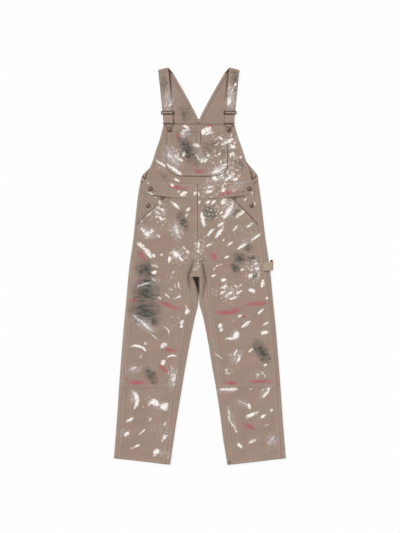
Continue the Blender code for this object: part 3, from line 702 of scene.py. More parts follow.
def add_paint(mesh, x, h, coat):
    """Stores each layer's mark coordinates: along, beside, load, and 1 where paint may lie."""
    for paint, sides in PAINT_LAYERS.items():
        for k, name in enumerate(layer_names(paint)):
            values = np.zeros((len(x), 4))
            values[:, :2] = 9.0
            for face, layers in enumerate(sides, start=1):
                for number, mark in enumerate(layers[k] if k < len(layers) else ()):
                    limit = spread(mark)
                    near = (np.abs(x - mark.x) < limit) & (np.abs(h - mark.h) < limit)
                    near = np.flatnonzero(near & (coat == face))
                    u, v = mark_place(mark, x[near], h[near])
                    kept = in_reach(mark, u, v, HALO)
                    near, u, v = near[kept], u[kept], v[kept]
                    load = np.full(len(near), mark.load - 0.013 * ((number * 7) % 5))
                    values[near] = np.stack([u, v, load, in_reach(mark, u, v, SUPPORT)], axis=1)
            attribute = mesh.attributes.new(name, "FLOAT_COLOR", "POINT")
            attribute.data.foreach_set("color", values.ravel())
    amount = np.full(len(x), 0.34)
    for spot in SPATTER:
        away = ((x - spot.x) / spot.across) ** 2 + ((h - spot.h) / spot.up) ** 2
        amount = np.maximum(amount, spot.amount * np.exp(-0.7 * away))
    add_values(mesh, "spatter", amount * np.array([0, 1, 0.85])[coat])


# Materials

def linear(code):
    """The linear colour of an sRGB hex value such as #A08C7E."""
    parts = [int(code[k:k + 2], 16) / 255 for k in (1, 3, 5)]
    return (*[part / 12.92 if part <= 0.04045 else ((part + 0.055) / 1.055) ** 2.4 for part in parts], 1.0)


def add_node(tree, kind, *values, **named):
    """Adds a node, whose kind may name its operation or its data type after a dot.

    Values go to its inputs in order, and a capitalised name is an input too, with _ for a space;
    other names are settings. A socket, or a node's first output, is linked.
    """
    kind, _, mode = kind.partition(".")
    node = tree.nodes.new(kind if "Node" in kind else "ShaderNode" + kind)
    if mode:
        setattr(node, "operation" if hasattr(node, "operation") else "data_type", mode)
    for key, value in named.items():
        if key[0].islower():
            setattr(node, key, value)
    pairs = list(zip([socket for socket in node.inputs if socket.enabled], values))
    for key, value in named.items():
        if key[0].isupper():
            pairs.append((node.inputs[key.replace("_", " ")], value))
    for socket, value in pairs:
        if isinstance(value, bpy.types.Node):
            value = next(output for output in value.outputs if output.enabled)
        if isinstance(value, bpy.types.NodeSocket):
            tree.links.new(value, socket)
        else:
            socket.default_value = value
    return node


def new_material(name):
    """Makes an empty material and returns what adds nodes to it."""
    made = bpy.data.materials.new(name)
    made.use_nodes = True
    made.node_tree.nodes.clear()
    return partial(add_node, made.node_tree)


def new_group(name, kind, inputs, output):
    """Makes a node group with its sockets and returns it, with what adds nodes to it."""
    group = bpy.data.node_groups.new(name, kind)
    for way, sockets in (("INPUT", inputs), ("OUTPUT", output)):
        for label, socket in sockets.items():
            group.interface.new_socket(label, in_out=way, socket_type="NodeSocket" + socket)
    return group, partial(add_node, group)


def largest(node, values):
    """Chains of Maximum nodes over several values."""
    return reduce(lambda a, b: node("Math.MAXIMUM", a, b), values)


def brush_mark_group():
    """Turns one layer's mark coordinates into paint cover from 0 to 1."""
    group, node = new_group("brush mark", "ShaderNodeTree", {
        "Place": "Vector", "Support": "Float", "Tatters": "Float", "Bristles": "Vector", "Streaks": "Float",
        "Spread": "Float", "Softness": "Float", "Smear": "Float"}, {"Cover": "Float"})
    given = node("NodeGroupInput").outputs
    along, beside, load = node("SeparateXYZ", given["Place"]).outputs
    flat = node("CombineXYZ", along, beside)
    radius = node("VectorMath.LENGTH", flat)
    # Bristles leave furrows across a mark that hardly change along it
    seed = node("Math.MULTIPLY", load, 97.0)
    parts = node("SeparateXYZ", node("VectorMath.MULTIPLY", flat, given["Bristles"])).outputs
    furrow = node("TexNoise", node("CombineXYZ", parts[0], parts[1], seed), 1.0, 2.0)
    furrow = node("Math.SUBTRACT", furrow, 0.5)
    furrow = node("Math.MULTIPLY_ADD", furrow, given["Streaks"], given["Tatters"])
    furrow = node("Math.MULTIPLY", furrow, node("Math.SUBTRACT", 1.85, load))
    whole = node("Math.SUBTRACT", given["Spread"], radius)
    whole = node("Math.ADD", whole, node("Math.SUBTRACT", load, 0.78))
    body = node("Math.MULTIPLY_ADD", whole, 1.5, furrow)
    core = node("MapRange", body, 0.0, given["Softness"], interpolation_type="SMOOTHSTEP")
    # Under and round the paint the cloth is smeared more evenly with what the brush had left
    veil = node("Math.MULTIPLY_ADD", furrow, 0.25, whole)
    even = node("Math.MULTIPLY", given["Softness"], 0.42)
    cover = largest(node, (core, node("MapRange", veil, -0.5, even, To_Max=given["Smear"])))
    limit = node("MapRange", radius, REACH, 1.15, interpolation_type="SMOOTHSTEP")
    limit = node("Math.MULTIPLY", limit, given["Support"])
    limit = node("Math.MULTIPLY", limit, node("MapRange", load, 0.2, 0.9, 0.35))
    node("NodeGroupOutput", node("Math.MULTIPLY", cover, limit))
    return group


BRUSHES = {
    paint: namedtuple("Brush", "ragged bristles streaks spread softness smear strength")(*row)
    for paint, row in {
        "white": (7.0, (0.8, 1.5, 0), 6.0, 1.0, 0.6, 0.36, 1.0),
        "red": (5.5, (0.8, 2.4, 0), 3.0, 1.3, 2.2, 0.6, 0.84),
        "dark": (8.5, (1.2, 2.2, 0), 2.8, 0.96, 1.7, 0.72, 0.97),
        "haze": (6.5, (1.6, 4.5, 0), 7.0, 1.0, 1.7, 0.56, 0.85),
    }.items()
}


def cover_of(node, group, paint, grain):
    """The cover of one paint over all of its layers. grain breaks up the marks' edges."""
    brush = BRUSHES[paint]
    tatters = node("Math.MULTIPLY", grain, brush.ragged)
    covers = []
    for name in layer_names(paint):
        mark = node("Attribute", attribute_name=name).outputs
        covers.append(node(
            "Group", mark["Vector"], mark["Alpha"], tatters, brush.bristles, brush.streaks,
            brush.spread, brush.softness, brush.smear, node_tree=group))
    return node("Math.MULTIPLY", largest(node, covers), brush.strength)


THREAD_PITCH = 0.6       # duck canvas has about 16 threads to the centimetre
# Spatter's cells in metres, how they lean, and their largest drop's radius in cells
FLICKS = table(namedtuple("Flicks", "lean length width reach"),
               (34, 0.028, 0.0085, 0.42), (64, 0.017, 0.006, 0.4), (20, 0.014, 0.0048, 0.36))


def weave_height(node, cut):
    """Plain weave: threads cross over and under at every step."""
    turns = 1 / (2 * THREAD_PITCH * MM)
    parts = node("SeparateXYZ", node("VectorMath.MULTIPLY", cut, (math.tau * turns,) * 3)).outputs
    warp, weft = (node("Math.SINE", part) for part in parts[:2])
    return node("Math.MULTIPLY", warp, weft)


def make_canvas(colours):
    """Cotton duck canvas, garment washed: matt, plain woven with slubbed threads, paler where its
    edges have rubbed, and carrying dry house paint that lies slightly proud and is less matt."""
    node = new_material("painted duck canvas")
    where = node("TexCoord").outputs["Object"]
    cut = node("UVMap", uv_map="cut")
    worn, shade, soil, spatter = (node("Attribute", attribute_name=name).outputs["Fac"]
                                  for name in ("worn", "shade", "soil", "spatter"))
    group = brush_mark_group()

    # Clouds of uneven fading, 60 mm and 14 mm across, one warm and one cool
    warm = node("MapRange", node("TexNoise", where, 17.0, 3.0), 0.4, 0.62)
    cool = node("MapRange", node("TexNoise", where, 70.0, 3.0), 0.5, 0.7)
    colour = node("Mix.RGBA", node("Math.MULTIPLY", warm, 0.7), colours.canvas, colours.canvas_warm)
    colour = node("Mix.RGBA", node("Math.MULTIPLY", cool, 0.6), colour, colours.canvas_cool)

    # Slubs: thick places in the threads, about 1.5 mm wide and 30 mm long, both ways
    for stretch in ((1 / 0.0015, 1 / 0.03, 1.0), (1 / 0.03, 1 / 0.0015, 1.0)):
        slub = node("TexNoise", node("VectorMath.MULTIPLY", cut, stretch), 1.0, 2.0)
        slub = node("MapRange", slub, 0.3, 0.75, 0.93, 1.06)
        colour = node("Mix.RGBA", 1.0, colour, slub, blend_type="MULTIPLY")
    pale = node("Math.MULTIPLY", worn, 0.3)
    colour = node("Mix.RGBA", pale, colour, colours.canvas_worn)

    # Paint's edge is broken up at about 7 mm, and again as finely as the threads take it.
    # Smudges and red were wiped across: their streaks are about 10 mm apart and 24 mm long
    grain = node("Math.SUBTRACT", node("TexNoise", where, 140.0, 4.0, 0.62), 0.5)
    wiped = node("VectorMath.MULTIPLY", where, (1 / 0.024, 1 / 0.01, 1.0))
    wiped = node("Math.SUBTRACT", node("TexNoise", wiped, 1.0, 5.0, 0.7), 0.5)
    soot = node("Mix.RGBA", node("TexNoise", where, 60.0, 4.0), colours.soot, colours.soot_green)
    haze = node("Mix.RGBA", cool, colours.haze, colours.haze_green)
    for paint, edge, shown in (("haze", grain, haze), ("dark", wiped, soot), ("red", wiped, colours.red)):
        colour = node("Mix.RGBA", cover_of(node, group, paint, edge), colour, shown)

    # Spatter: one drop to a cell, drawn out by the brush's flick, which leans out on both sides
    apart = node("SeparateXYZ", where).outputs
    out = node("Math.ABSOLUTE", apart[0])
    left = node("Math.LESS_THAN", apart[0], 0.0)
    stir = node("TexNoise", where, 110.0, 3.0).outputs["Color"]
    folded = node("CombineXYZ", out, apart[1], 0.0)
    moved = node("VectorMath.MULTIPLY_ADD", stir, (0.009, 0.009, 0.0), folded)
    drops = []
    for flicks in FLICKS:
        leaning = node("VectorRotate", moved, Angle=-math.radians(flicks.lean), rotation_type="Z_AXIS")
        shift = node("VectorMath.MULTIPLY", left, (2.3, 1.7, 0.0))
        cells = node("VectorMath.MULTIPLY_ADD", leaning, (1 / flicks.length, 1 / flicks.width, 0.0), shift)
        spots = node("TexVoronoi", cells, 1.0, voronoi_dimensions="2D").outputs
        chance = node("SeparateColor", spots["Color"]).outputs
        size = node("MapRange", node("Math.MULTIPLY", chance[0], spatter), 0.2, 0.9, 0.0, flicks.reach)
        size = node("Math.SUBTRACT", size, spots["Distance"])
        drops.append(node("MapRange", size, 0.0, 0.12, To_Max=node("MapRange", chance[1], To_Min=0.45)))
    white = largest(node, (cover_of(node, group, "white", grain), largest(node, drops)))
    # Over the paint go dirt with painted shade along edges and seams, then painted shade in folds, gaps and
    # under edges
    soiled = node("Math.MULTIPLY", soil, 0.62)
    for amount, shown in ((white, colours.white), (soiled, colours.seam_soil), (shade, colours.painted_shade)):
        colour = node("Mix.RGBA", amount, colour, shown)

    # Paint fills the weave and dries with fine ridges. Only strengths follow the paint: a height
    # that did would be worked out three times over
    bare = node("MapRange", white, To_Min=0.5, To_Max=0.15)
    woven = node("Bump", Strength=bare, Distance=0.00012, Height=weave_height(node, cut))
    thick = node("Math.MULTIPLY", white, 0.5)
    ridges = node("TexNoise", where, 900.0, 2.0)
    raised = node("Bump", Strength=thick, Distance=0.0004, Height=ridges, Normal=woven)
    node("OutputMaterial", node(
        "BsdfPrincipled", Base_Color=colour, Roughness=node("MapRange", white, To_Min=0.92, To_Max=0.6),
        Normal=raised, IOR=1.5, Specular_IOR_Level=0.3, Sheen_Weight=0.08, Sheen_Roughness=0.5))


def make_thread(colours):
    """Spun polyester thread, twisted: a soft lengthwise sheen and a fine ply."""
    node = new_material("spun thread")
    where = node("TexCoord").outputs["Object"]
    colour = node("Mix.RGBA", node("TexNoise", where, 60.0, 2.0), colours.thread, colours.thread_worn)
    ply = node("Bump", Strength=0.3, Distance=0.0001, Height=node("TexNoise", where, 3000.0, 1.0))
    node("OutputMaterial", node("BsdfPrincipled", Base_Color=colour, Roughness=0.7, Normal=ply, IOR=1.5,
                                Sheen_Weight=0.15))


def make_webbing(colours):
    """Cotton webbing, undyed: ribs 1.6 mm apart run along it."""
    node = new_material("cotton webbing")
    parts = node("SeparateXYZ", node("UVMap", uv_map="cut")).outputs
    ribs, picks = (node("Math.SINE", node("Math.MULTIPLY", part, math.tau / apart))
                   for part, apart in ((parts[1], 0.0016), (parts[0], 0.0012)))
    height = node("Math.ADD", ribs, node("Math.MULTIPLY_ADD", ribs, picks, 0.0))
    where = node("TexCoord").outputs["Object"]
    shade = node("Attribute", attribute_name="shade").outputs["Fac"]
    colour = node("Mix.RGBA", node("TexNoise", where, 120.0, 3.0), colours.webbing, colours.webbing_soiled)
    # Painted shade, from the shade attribute
    colour = node("Mix.RGBA", shade, colour, colours.painted_shade)
    bump = node("Bump", Strength=0.6, Distance=0.0002, Height=height)
    node("OutputMaterial", node("BsdfPrincipled", Base_Color=colour, Roughness=0.9, Normal=bump, IOR=1.5,
                                Sheen_Weight=0.1))


def make_brass(colours):
    """Antique brass: stamped, darkened chemically and rubbed bright on its rims, with a painted highlight on
    each button's dome.
    """
    node = new_material("antique brass")
    tarnish = node("TexNoise", node("TexCoord").outputs["Object"], 420.0, 4.0)
    rims = node("MapRange", node("NewGeometry").outputs["Pointiness"], 0.51, 0.6, To_Max=0.35)
    patchy = node("MapRange", tarnish, 0.4, 0.75, To_Max=0.2)
    # Painted highlight on each button's dome, from the rubbed attribute
    painted_highlight = node("Attribute", attribute_name="rubbed").outputs["Fac"]
    bright = node("Math.ADD", node("Math.ADD", rims, patchy), painted_highlight, use_clamp=True)
    colour = node("Mix.RGBA", bright, colours.brass, colours.brass_rubbed_and_highlight)
    bump = node("Bump", Strength=0.2, Distance=0.0001, Height=tarnish)
    node("OutputMaterial", node("BsdfPrincipled", Base_Color=colour, Metallic=1.0, Normal=bump,
                                Roughness=node("MapRange", bright, To_Min=0.5, To_Max=0.32)))


# Cloth pieces

def edge_wear(distance, width=SEAM_BAND):
    """The raised band between a seam's two rows is rubbed pale."""
    return 0.6 * bell(distance - 0.5 * width, 3.0)


def edge_soil(distance, width=SEAM_BAND, edge=0.22, step=0.08):
    """Dirt and painted shade along the sewn edge, and along the step where the seam's band ends."""
    return edge * bell(distance, 1.6) + step * bell(distance - width, 1.5)


def front_columns(side, h, pitch):
    """Columns of a front leg panel: side seam to the inseam's line, then to the rise above the crotch."""
    outer = side_seam(side, h) - side * GAP / 2
    slanted = np.minimum(outer * side, pocket_mouth(side, h) * side) * side
    outer = np.where(h > MOUTH_FOOT, slanted, outer)
    leg = inseam(side, h) + side * GAP / 2
    middle = read(RISE, h, "x") + side * GAP / 2
    leg_part = across(-side * outer, -side * leg, pitch)
    inner = across(-side * leg, -side * middle, pitch, PLAIN, NEAR)[:, 1:]
    x = -side * np.concatenate([leg_part, inner], axis=1)
    cells = all_cells(x)
    cells[h[:-1] < CROTCH - 0.01, leg_part.shape[1] - 1:] = False
    return x, cells


def front_thickness(side, x, h):
    """Cloth plus the felled bands along its side seam, inseam, crotch, rise and hem."""
    mouth = np.abs(pocket_mouth(side, h) - x) / math.sqrt(2)
    edge = np.where(h > MOUTH_FOOT, np.minimum(mouth, from_side(x, h)), from_side(x, h))
    rise = np.where(h > CROTCH, np.abs(x - read(RISE, h, "x")), 99)
    extra = felled(edge, h) * (1 - smooth((h - 1010) / 20) * (edge > 30))
    extra = extra + felled(from_leg(x, h), h + x, up=0.45) + felled(rise, h, up=0.35)
    extra = extra + felled(h, x, width=15.0, up=0.8)
    return CLOTH + np.minimum(extra, 1.0), np.minimum(np.minimum(edge, from_leg(x, h)), np.minimum(rise, h))


def make_front_leg(side, label, pitch):
    hidden = np.array([KNEE_BOTTOM + 8 * k for k in range(1, 54)] + [CROTCH + 8 * k for k in range(7)])
    rows = join_rows(stations(0, KNEE_BOTTOM, pitch, NEAR, PLAIN), hidden,
                     stations(KNEE_TOP - 12, WAIST, pitch, PLAIN, (0.0, 0.6, 1.4, 3.0)))
    h = rows[:, None]
    x, cells = front_columns(side, rows, pitch)
    thick, edge = front_thickness(side, x, h)
    covered = smooth((h - KNEE_BOTTOM + 4) / 7) * (1 - smooth((h - KNEE_TOP + 8) / 6))
    thick = mix(thick, CLOTH - 0.15, covered)
    # Below the knee patch the leg rises towards the patch's edge
    thick = thick + 1.5 * bell(KNEE_BOTTOM - h, 6.5) * (h <= KNEE_BOTTOM)
    from_mouth = np.abs(pocket_mouth(side, h) - x)
    mouth_gap = np.where(h > MOUTH_FOOT, bell(from_mouth, 14), 0)
    mouth_gap = mouth_gap * smooth((h - MOUTH_FOOT) / 25) * (1 - smooth((h - 1020) / 16))
    # Painted shade at the top of the pocket's mouth, where it opens under the waistband
    mouth_top_shade = 0.8 * bell(WAIST - h, 3.0) * bell(from_mouth, 22)
    make_cloth(
        f"{label}_front_leg", f"front_leg_{label}", (255, 1040), [f"{label}_back_leg"],
        x, h, front_under(x, h) + 1.5 * mouth_gap, thick, 0.0, cells, nudge=-GAP * (h == WAIST),
        turn=side > 0, worn=edge_wear(edge), soil=edge_soil(edge) + fly_soil(x, h),
        shade=mouth_top_shade + crotch_shadow(x, h))


def make_knee_patch(side, label, pitch):
    rows = join_rows(stations(KNEE_BOTTOM, CROTCH, pitch, NEAR, PLAIN),
                     CROTCH + np.array(NEAR), stations(CROTCH + 16, KNEE_TOP, pitch, PLAIN, NEAR))
    h = rows[:, None]
    x, cells = front_columns(side, rows, pitch)
    thick, edge = front_thickness(side, x, h)
    ends = felled(h - KNEE_BOTTOM, x) + felled(KNEE_TOP - h, x)
    edge = np.minimum(edge, np.minimum(h - KNEE_BOTTOM, KNEE_TOP - h))
    make_cloth(
        f"{label}_knee_patch", f"knee_patch_{label}", (290, 490), [f"{label}_front_leg"],
        x, h, front_under(x, h) + CLOTH + GAP, CLOTH + np.clip(thick - CLOTH + ends, -0.7, 0.9), 0.0,
        cells, turn=side > 0, worn=edge_wear(edge), soil=edge_soil(edge),
        shade=crotch_shadow(x, h) + (side > 0) * loop_shadow(x, h))


def arc(count=8):
    return np.linspace(0, math.pi, count + 1)


def make_back_leg(side, label, pitch):
    """From the side seam on the front, round the outer fold, under the leg and round the inner
    fold to the inseam; above the crotch it ends at the centre of the seat."""
    rows = join_rows(
        stations(0, KNEE_BOTTOM, pitch, NEAR, PLAIN), stations(KNEE_BOTTOM, CROTCH, pitch, PLAIN, NEAR),
        stations(CROTCH, WAIST_TOP, pitch, PLAIN, NEAR))
    h = rows[:, None]
    angles = arc()
    r = FOLD / 2
    seam = side_seam(side, h)
    outer = fold_x(side, h) - side * r
    edge = inner_edge(side, h)
    press = mix(FOLD, CROTCH_FOLD, smooth((h - 630) / 40))
    start = edge + side * press / 2
    end = inseam(side, h) - side * GAP / 2
    foot = start + side * np.maximum(side * (edge_of(CROTCH_WEDGE, side, h) - start) - 3.0, 0.8)
    foot = np.where(h <= WEDGE_LOW, start, foot)
    lip = np.array([0, 0.06, 0.14, 0.25, 0.4, 0.6, 0.8])
    well, step = np.linspace(0, 1, 6)[1:], np.linspace(0, 1, 4)[1:]
    floor_x = outer + (np.where(h <= CROTCH, start, edge) - outer) * np.linspace(0, 1, int(270 / 6.5))[1:]
    step_x = foot + side * np.where(h <= WEDGE_LOW, 0.5, 3.0) * step
    rest_x = step_x[:, -1:] + (end - step_x[:, -1:]) * np.array([.3, .55, .72, .84, .93, 1.0])
    x = np.concatenate([
        seam + (outer - seam) * lip, outer + side * r * np.sin(angles), floor_x,
        start - side * press / 2 * np.sin(angles[1:]), start + (foot - start) * well, step_x, rest_x,
    ], axis=1)
    level = 0 * h
    z = np.concatenate([
        FOLD + level + 0 * lip, r + r * np.cos(angles) + level, 0 * floor_x,
        press / 2 - press / 2 * np.cos(angles[1:]), press + 0 * well, mix(press, FOLD, smooth(step)),
        FOLD + 0 * rest_x,
    ], axis=1)
    lip_end = len(lip) + len(angles)
    floor_end = lip_end + floor_x.shape[1]
    columns = np.arange(x.shape[1])
    on_outer, on_inner = columns < lip_end, columns >= floor_end
    on_floor = ~on_outer & ~on_inner
    front = (columns < lip_end - len(angles) // 2) | (columns > floor_end + len(angles) // 2)
    cells = all_cells(x)
    cells[rows[:-1] >= CROTCH - 0.01, floor_end - 1:] = False
    nudge = -GAP * on_inner * (h == CROTCH)
    to_seam = np.minimum(np.where(on_outer, np.abs(x - seam), 99), np.where(on_inner, np.abs(x - end), 99))
    bottom = felled(h + 0 * x, x, width=15.0, up=0.5) * (~on_floor)
    extra = -0.3 * bell(to_seam, 0.8) + bottom
    swell = 0.35 * np.sin(h / 19 + np.sin(h / 53)) * bell(to_seam, 9)
    # Beside the knee patch the lips rise towards its edge, and towards the crotch's edge
    to_patch = np.minimum(to_seam, np.where(on_inner, CROTCH - h, 99))
    by_patch = smooth((h - KNEE_BOTTOM + 3) / 6) * (1 - smooth((h - KNEE_TOP + 3) / 6))
    extra = extra + 1.9 * bell(to_patch, 6.5) * by_patch
    extra = np.where(on_floor, 0, extra + swell) * smooth((z - 3) / 2)
    on_folds = on_outer & (columns >= len(lip)) | on_inner & (columns < floor_end + len(angles))
    worn = np.maximum(0.6 * edge_wear(to_seam), 0.8 * bell(z - FOLD, 2.0) * on_folds)
    # Painted shade down in the crotch's well, and on the front along the crotch creases, under the hammer
    # loop and at the hips
    wedge_shade = np.where(on_inner, smooth((FOLD - 0.6 - z) / 2.0), 0) * smooth((h - 648) / 30)
    shades = [crotch_shadow(x, h), (side > 0) * loop_shadow(x, h), hip_tuck_shade(x, h)]
    shade = np.maximum(wedge_shade * (z < press + 0.02), np.where(front, np.maximum.reduce(shades), 0))
    # Painted shade darkens the outer fold's lower half, where it turns under to the floor; a little dirt and
    # painted shade lie along the seams
    soil = 0.1 * bell(to_seam, 1.6) + 0.8 * (0.6 * bell(columns - lip_end + 2, 2.0))
    area = folded_area(np.hypot(np.diff(x, axis=1), np.diff(z, axis=1)),
                       np.diff(true_height(x, h) + nudge, axis=0), cells)
    make_cloth(
        f"{label}_back_leg", f"back_leg_{label}", (345, 1110), [], x, h, z, extra, -CLOTH, cells,
        area=area, nudge=nudge, turn=side < 0, upper=np.where(front, 1, 2), worn=worn, shade=shade,
        soil=soil)


def distance_to(x, h, route):
    """Distance to the nearest stretch of a route of points, and how far along it that lies, 0 to 1."""
    best = np.full(np.broadcast(x, h).shape, 1e9)
    place = np.zeros_like(best)
    for k, (a, b) in enumerate(zip(route, route[1:])):
        dx, dh = b[0] - a[0], b[1] - a[1]
        t = np.clip(((x - a[0]) * dx + (h - a[1]) * dh) / (dx * dx + dh * dh), 0, 1)
        away = np.hypot(x - a[0] - t * dx, h - a[1] - t * dh)
        place = np.where(away < best, (k + t) / (len(route) - 1), place)
        best = np.minimum(best, away)
    return best, place


RoutePoint = namedtuple("RoutePoint", "x h")
# Routes of painted shade lines beside the bib, at the hips
HIP_SHADE_LINES = (
    table(RoutePoint, (202, 1111), (205.5, 1103), (209.5, 1094), (216, 1099), (223, 1106)),
    table(RoutePoint, (213, 1075), (219, 1079), (226, 1085)),
)
CROTCH_LINES = (
    table(RoutePoint, (-24, 798), (-31, 774), (-39, 752), (-45, 735), (-43, 712), (-40, 690)),
    table(RoutePoint, (8, 812), (11, 790), (14, 766), (19, 742), (22, 718), (17, 690), (12, 655)),
)


def hip_tuck_shade(x, h):
    """Painted shade beside the bib, where the back dips behind the front: along the dip and in the crease
    below it.
    """
    out = np.abs(x - CENTRE)
    dip, crease = (bell(distance_to(out, h, route)[0], width) for route, width in zip(HIP_SHADE_LINES, (2.3, 1.7)))
    return np.minimum(0.95 * dip + crease, 1)


def fly_soil(x, h):
    """Painted shade along the fly's folded edge, from the waist to where the opening ends."""
    return 0.75 * bell(x - FLY, 2.2) * smooth((h - 868) / 14)


def crotch_pull(x, h):
    """The two creases that run up from the crotch, deepest in the middle, from 0 to 1."""
    total = np.zeros(np.broadcast(x, h).shape)
    for route in CROTCH_LINES:
        away, place = distance_to(x, h, route)
        total += bell(away, 6.5) * np.sin(math.pi * np.clip(0.12 + 0.76 * place, 0, 1))
    return total


def crotch_shadow(x, h):
    return np.minimum(0.62 * crotch_pull(x, h), 0.75)


def facing_under(side, x, h):
    """The hip facing passes under the front at the pocket's mouth and rises to the side seam."""
    clear = side * (x - pocket_mouth(side, h))
    return front_z(x, h) - mix(1.8, 0.3, smooth(clear / 30))


def make_hip_facing(side, label, pitch):
    rows = stations(MOUTH_FOOT - 12, WAIST, pitch, PLAIN, PLAIN)
    h = rows[:, None]
    seam = side_seam(side, rows) - side * GAP / 2
    inner = pocket_mouth(side, rows) - side * 16.0
    x = -side * across(-side * seam, -side * inner, pitch, NEAR, PLAIN)
    edge = np.abs(x - seam[:, None])
    clear = side * (x - pocket_mouth(side, h))
    # Painted shade where the facing runs in under the front's slanted edge
    inside = 0.85 * smooth((7 - clear) / 6)
    # The mouth gapes under the waistband: painted shade along the band and down both sides of the gap
    gape = 30.0 * smooth((h - 1012) / 25)
    band_shadow = 0.8 * bell(WAIST - h, 4.0) * smooth((62 - clear) / 10)
    inside = np.maximum(inside, 0.6 * smooth((gape - clear) / 8) * smooth((h - 1010) / 8))
    make_cloth(
        f"{label}_hip_facing", f"hip_facing_{label}", (145, 125), [f"{label}_back_leg"],
        x, h, facing_under(side, x, h), CLOTH + felled(edge, h), 0.0, nudge=-GAP * (h == WAIST),
        turn=side > 0, worn=edge_wear(edge), soil=edge_soil(edge), shade=np.maximum(inside, band_shadow))


BUTTONHOLES = ((-177, 1053), (171, 1053))


def make_waistband(side, label, pitch):
    rows = stations(WAIST, WAIST_TOP, pitch)
    h = rows[:, None]
    end = side_seam(side, rows) - side * GAP / 2
    x = -side * across(-side * end, -side * np.full(len(rows), FLY + side * GAP / 2), pitch)
    edge = np.minimum(h - WAIST, WAIST_TOP - h)
    ends = np.minimum(np.abs(x - end[:, None]), np.abs(x - FLY))
    lip = -0.8 * bell(edge, 0.9) - 0.8 * bell(ends, 0.9)
    groove = -0.3 * bell(edge - 2.2, 0.8)
    pucker = 0.25 * np.sin(math.tau * x / 17 + 2 * np.sin(x / 37)) * bell(edge - 7, 8)
    edge = np.minimum(edge, ends)
    # Dirt and painted shade along the band's edges, darker over the pockets as painted shade of their gaping
    # mouths, and painted shade along the fly
    over_pocket = smooth((np.abs(x) - 100) / 30) * (h < WAIST + 20)
    dirt_plus_shade = mix(0.35, 1.0, over_pocket) * bell(edge, 1.8) + 0.4 * bell(x - FLY, 2.0)
    # The slit of each buttonhole is painted dark, as shade
    slit_shade = sum(0.9 * (np.abs(x - slit_x) < 9) * bell(h - slit_h, 1.8) for slit_x, slit_h in BUTTONHOLES)
    make_cloth(
        f"{label}_waistband", f"waistband_{label}", (225, 82), [f"{label}_back_leg"],
        x, h, front_under(x, h), BAND + lip + groove + pucker, 0.0, nudge=-GAP * (h == WAIST_TOP),
        turn=side > 0, worn=edge_wear(edge, 8), soil=np.minimum(dirt_plus_shade + slit_shade, 1))


BIB_HEM = 37.0


def make_bib(pitch):
    by_hem = tuple(BIB_HEM + k for k in range(-2, 3))
    rows = stations(WAIST_TOP, BIB_TOP, pitch, (0.0, 0.6, 1.5, 3.0), NEAR + by_hem)
    h = rows[:, None]
    left, right = edge_of(BIB_EDGE, -1, rows), edge_of(BIB_EDGE, 1, rows)
    x = across(left, right, pitch)
    sides = np.minimum(x - left[:, None], right[:, None] - x)
    top = BIB_TOP - h
    facing = felled(top, x, width=BIB_HEM, up=0.35)
    lifted = 0.8 * smooth((h - 1150) / 60) * np.sin(h / 31 + (x < 0) * 2) * bell(sides, 14)
    # Dirt and painted shade on the bib round the pocket's edge
    pocket_rim_dirt_and_shade = bell(distance_to(x, h, pocket_line(0.0))[0], 2.2)
    soil = np.maximum(edge_soil(sides) + edge_soil(top, BIB_HEM, edge=0.6), pocket_rim_dirt_and_shade)
    make_cloth(
        "bib", "front_bib", (435, 285), ["high_back"], x, h, front_under(x, h) + np.maximum(lifted, -0.4),
        CLOTH + np.clip(felled(sides, h) + facing, -0.7, 0.8), 0.0, worn=edge_wear(sides), soil=soil)


POCKET_LEFT, POCKET_RIGHT, POCKET_BOTTOM = -128.0, 108.0, 1126.0
POCKET_STEP, POCKET_TALL = 1252.0, 1298.0
PEN_LEFT, PEN_RIGHT = -12.0, 3.0
CORNER_X, CORNER_H = 52.0, 38.0


def into_corner(x):
    """How far into a rounded lower corner of the pocket, from 0 to 1."""
    return np.maximum(np.maximum(POCKET_LEFT + CORNER_X - x, x - (POCKET_RIGHT - CORNER_X)), 0) / CORNER_X


def pocket_low(x):
    """The pocket's lower edge, with its rounded corners."""
    return POCKET_BOTTOM + CORNER_H * (1 - np.sqrt(np.clip(1 - into_corner(x) * into_corner(x), 0, 1)))


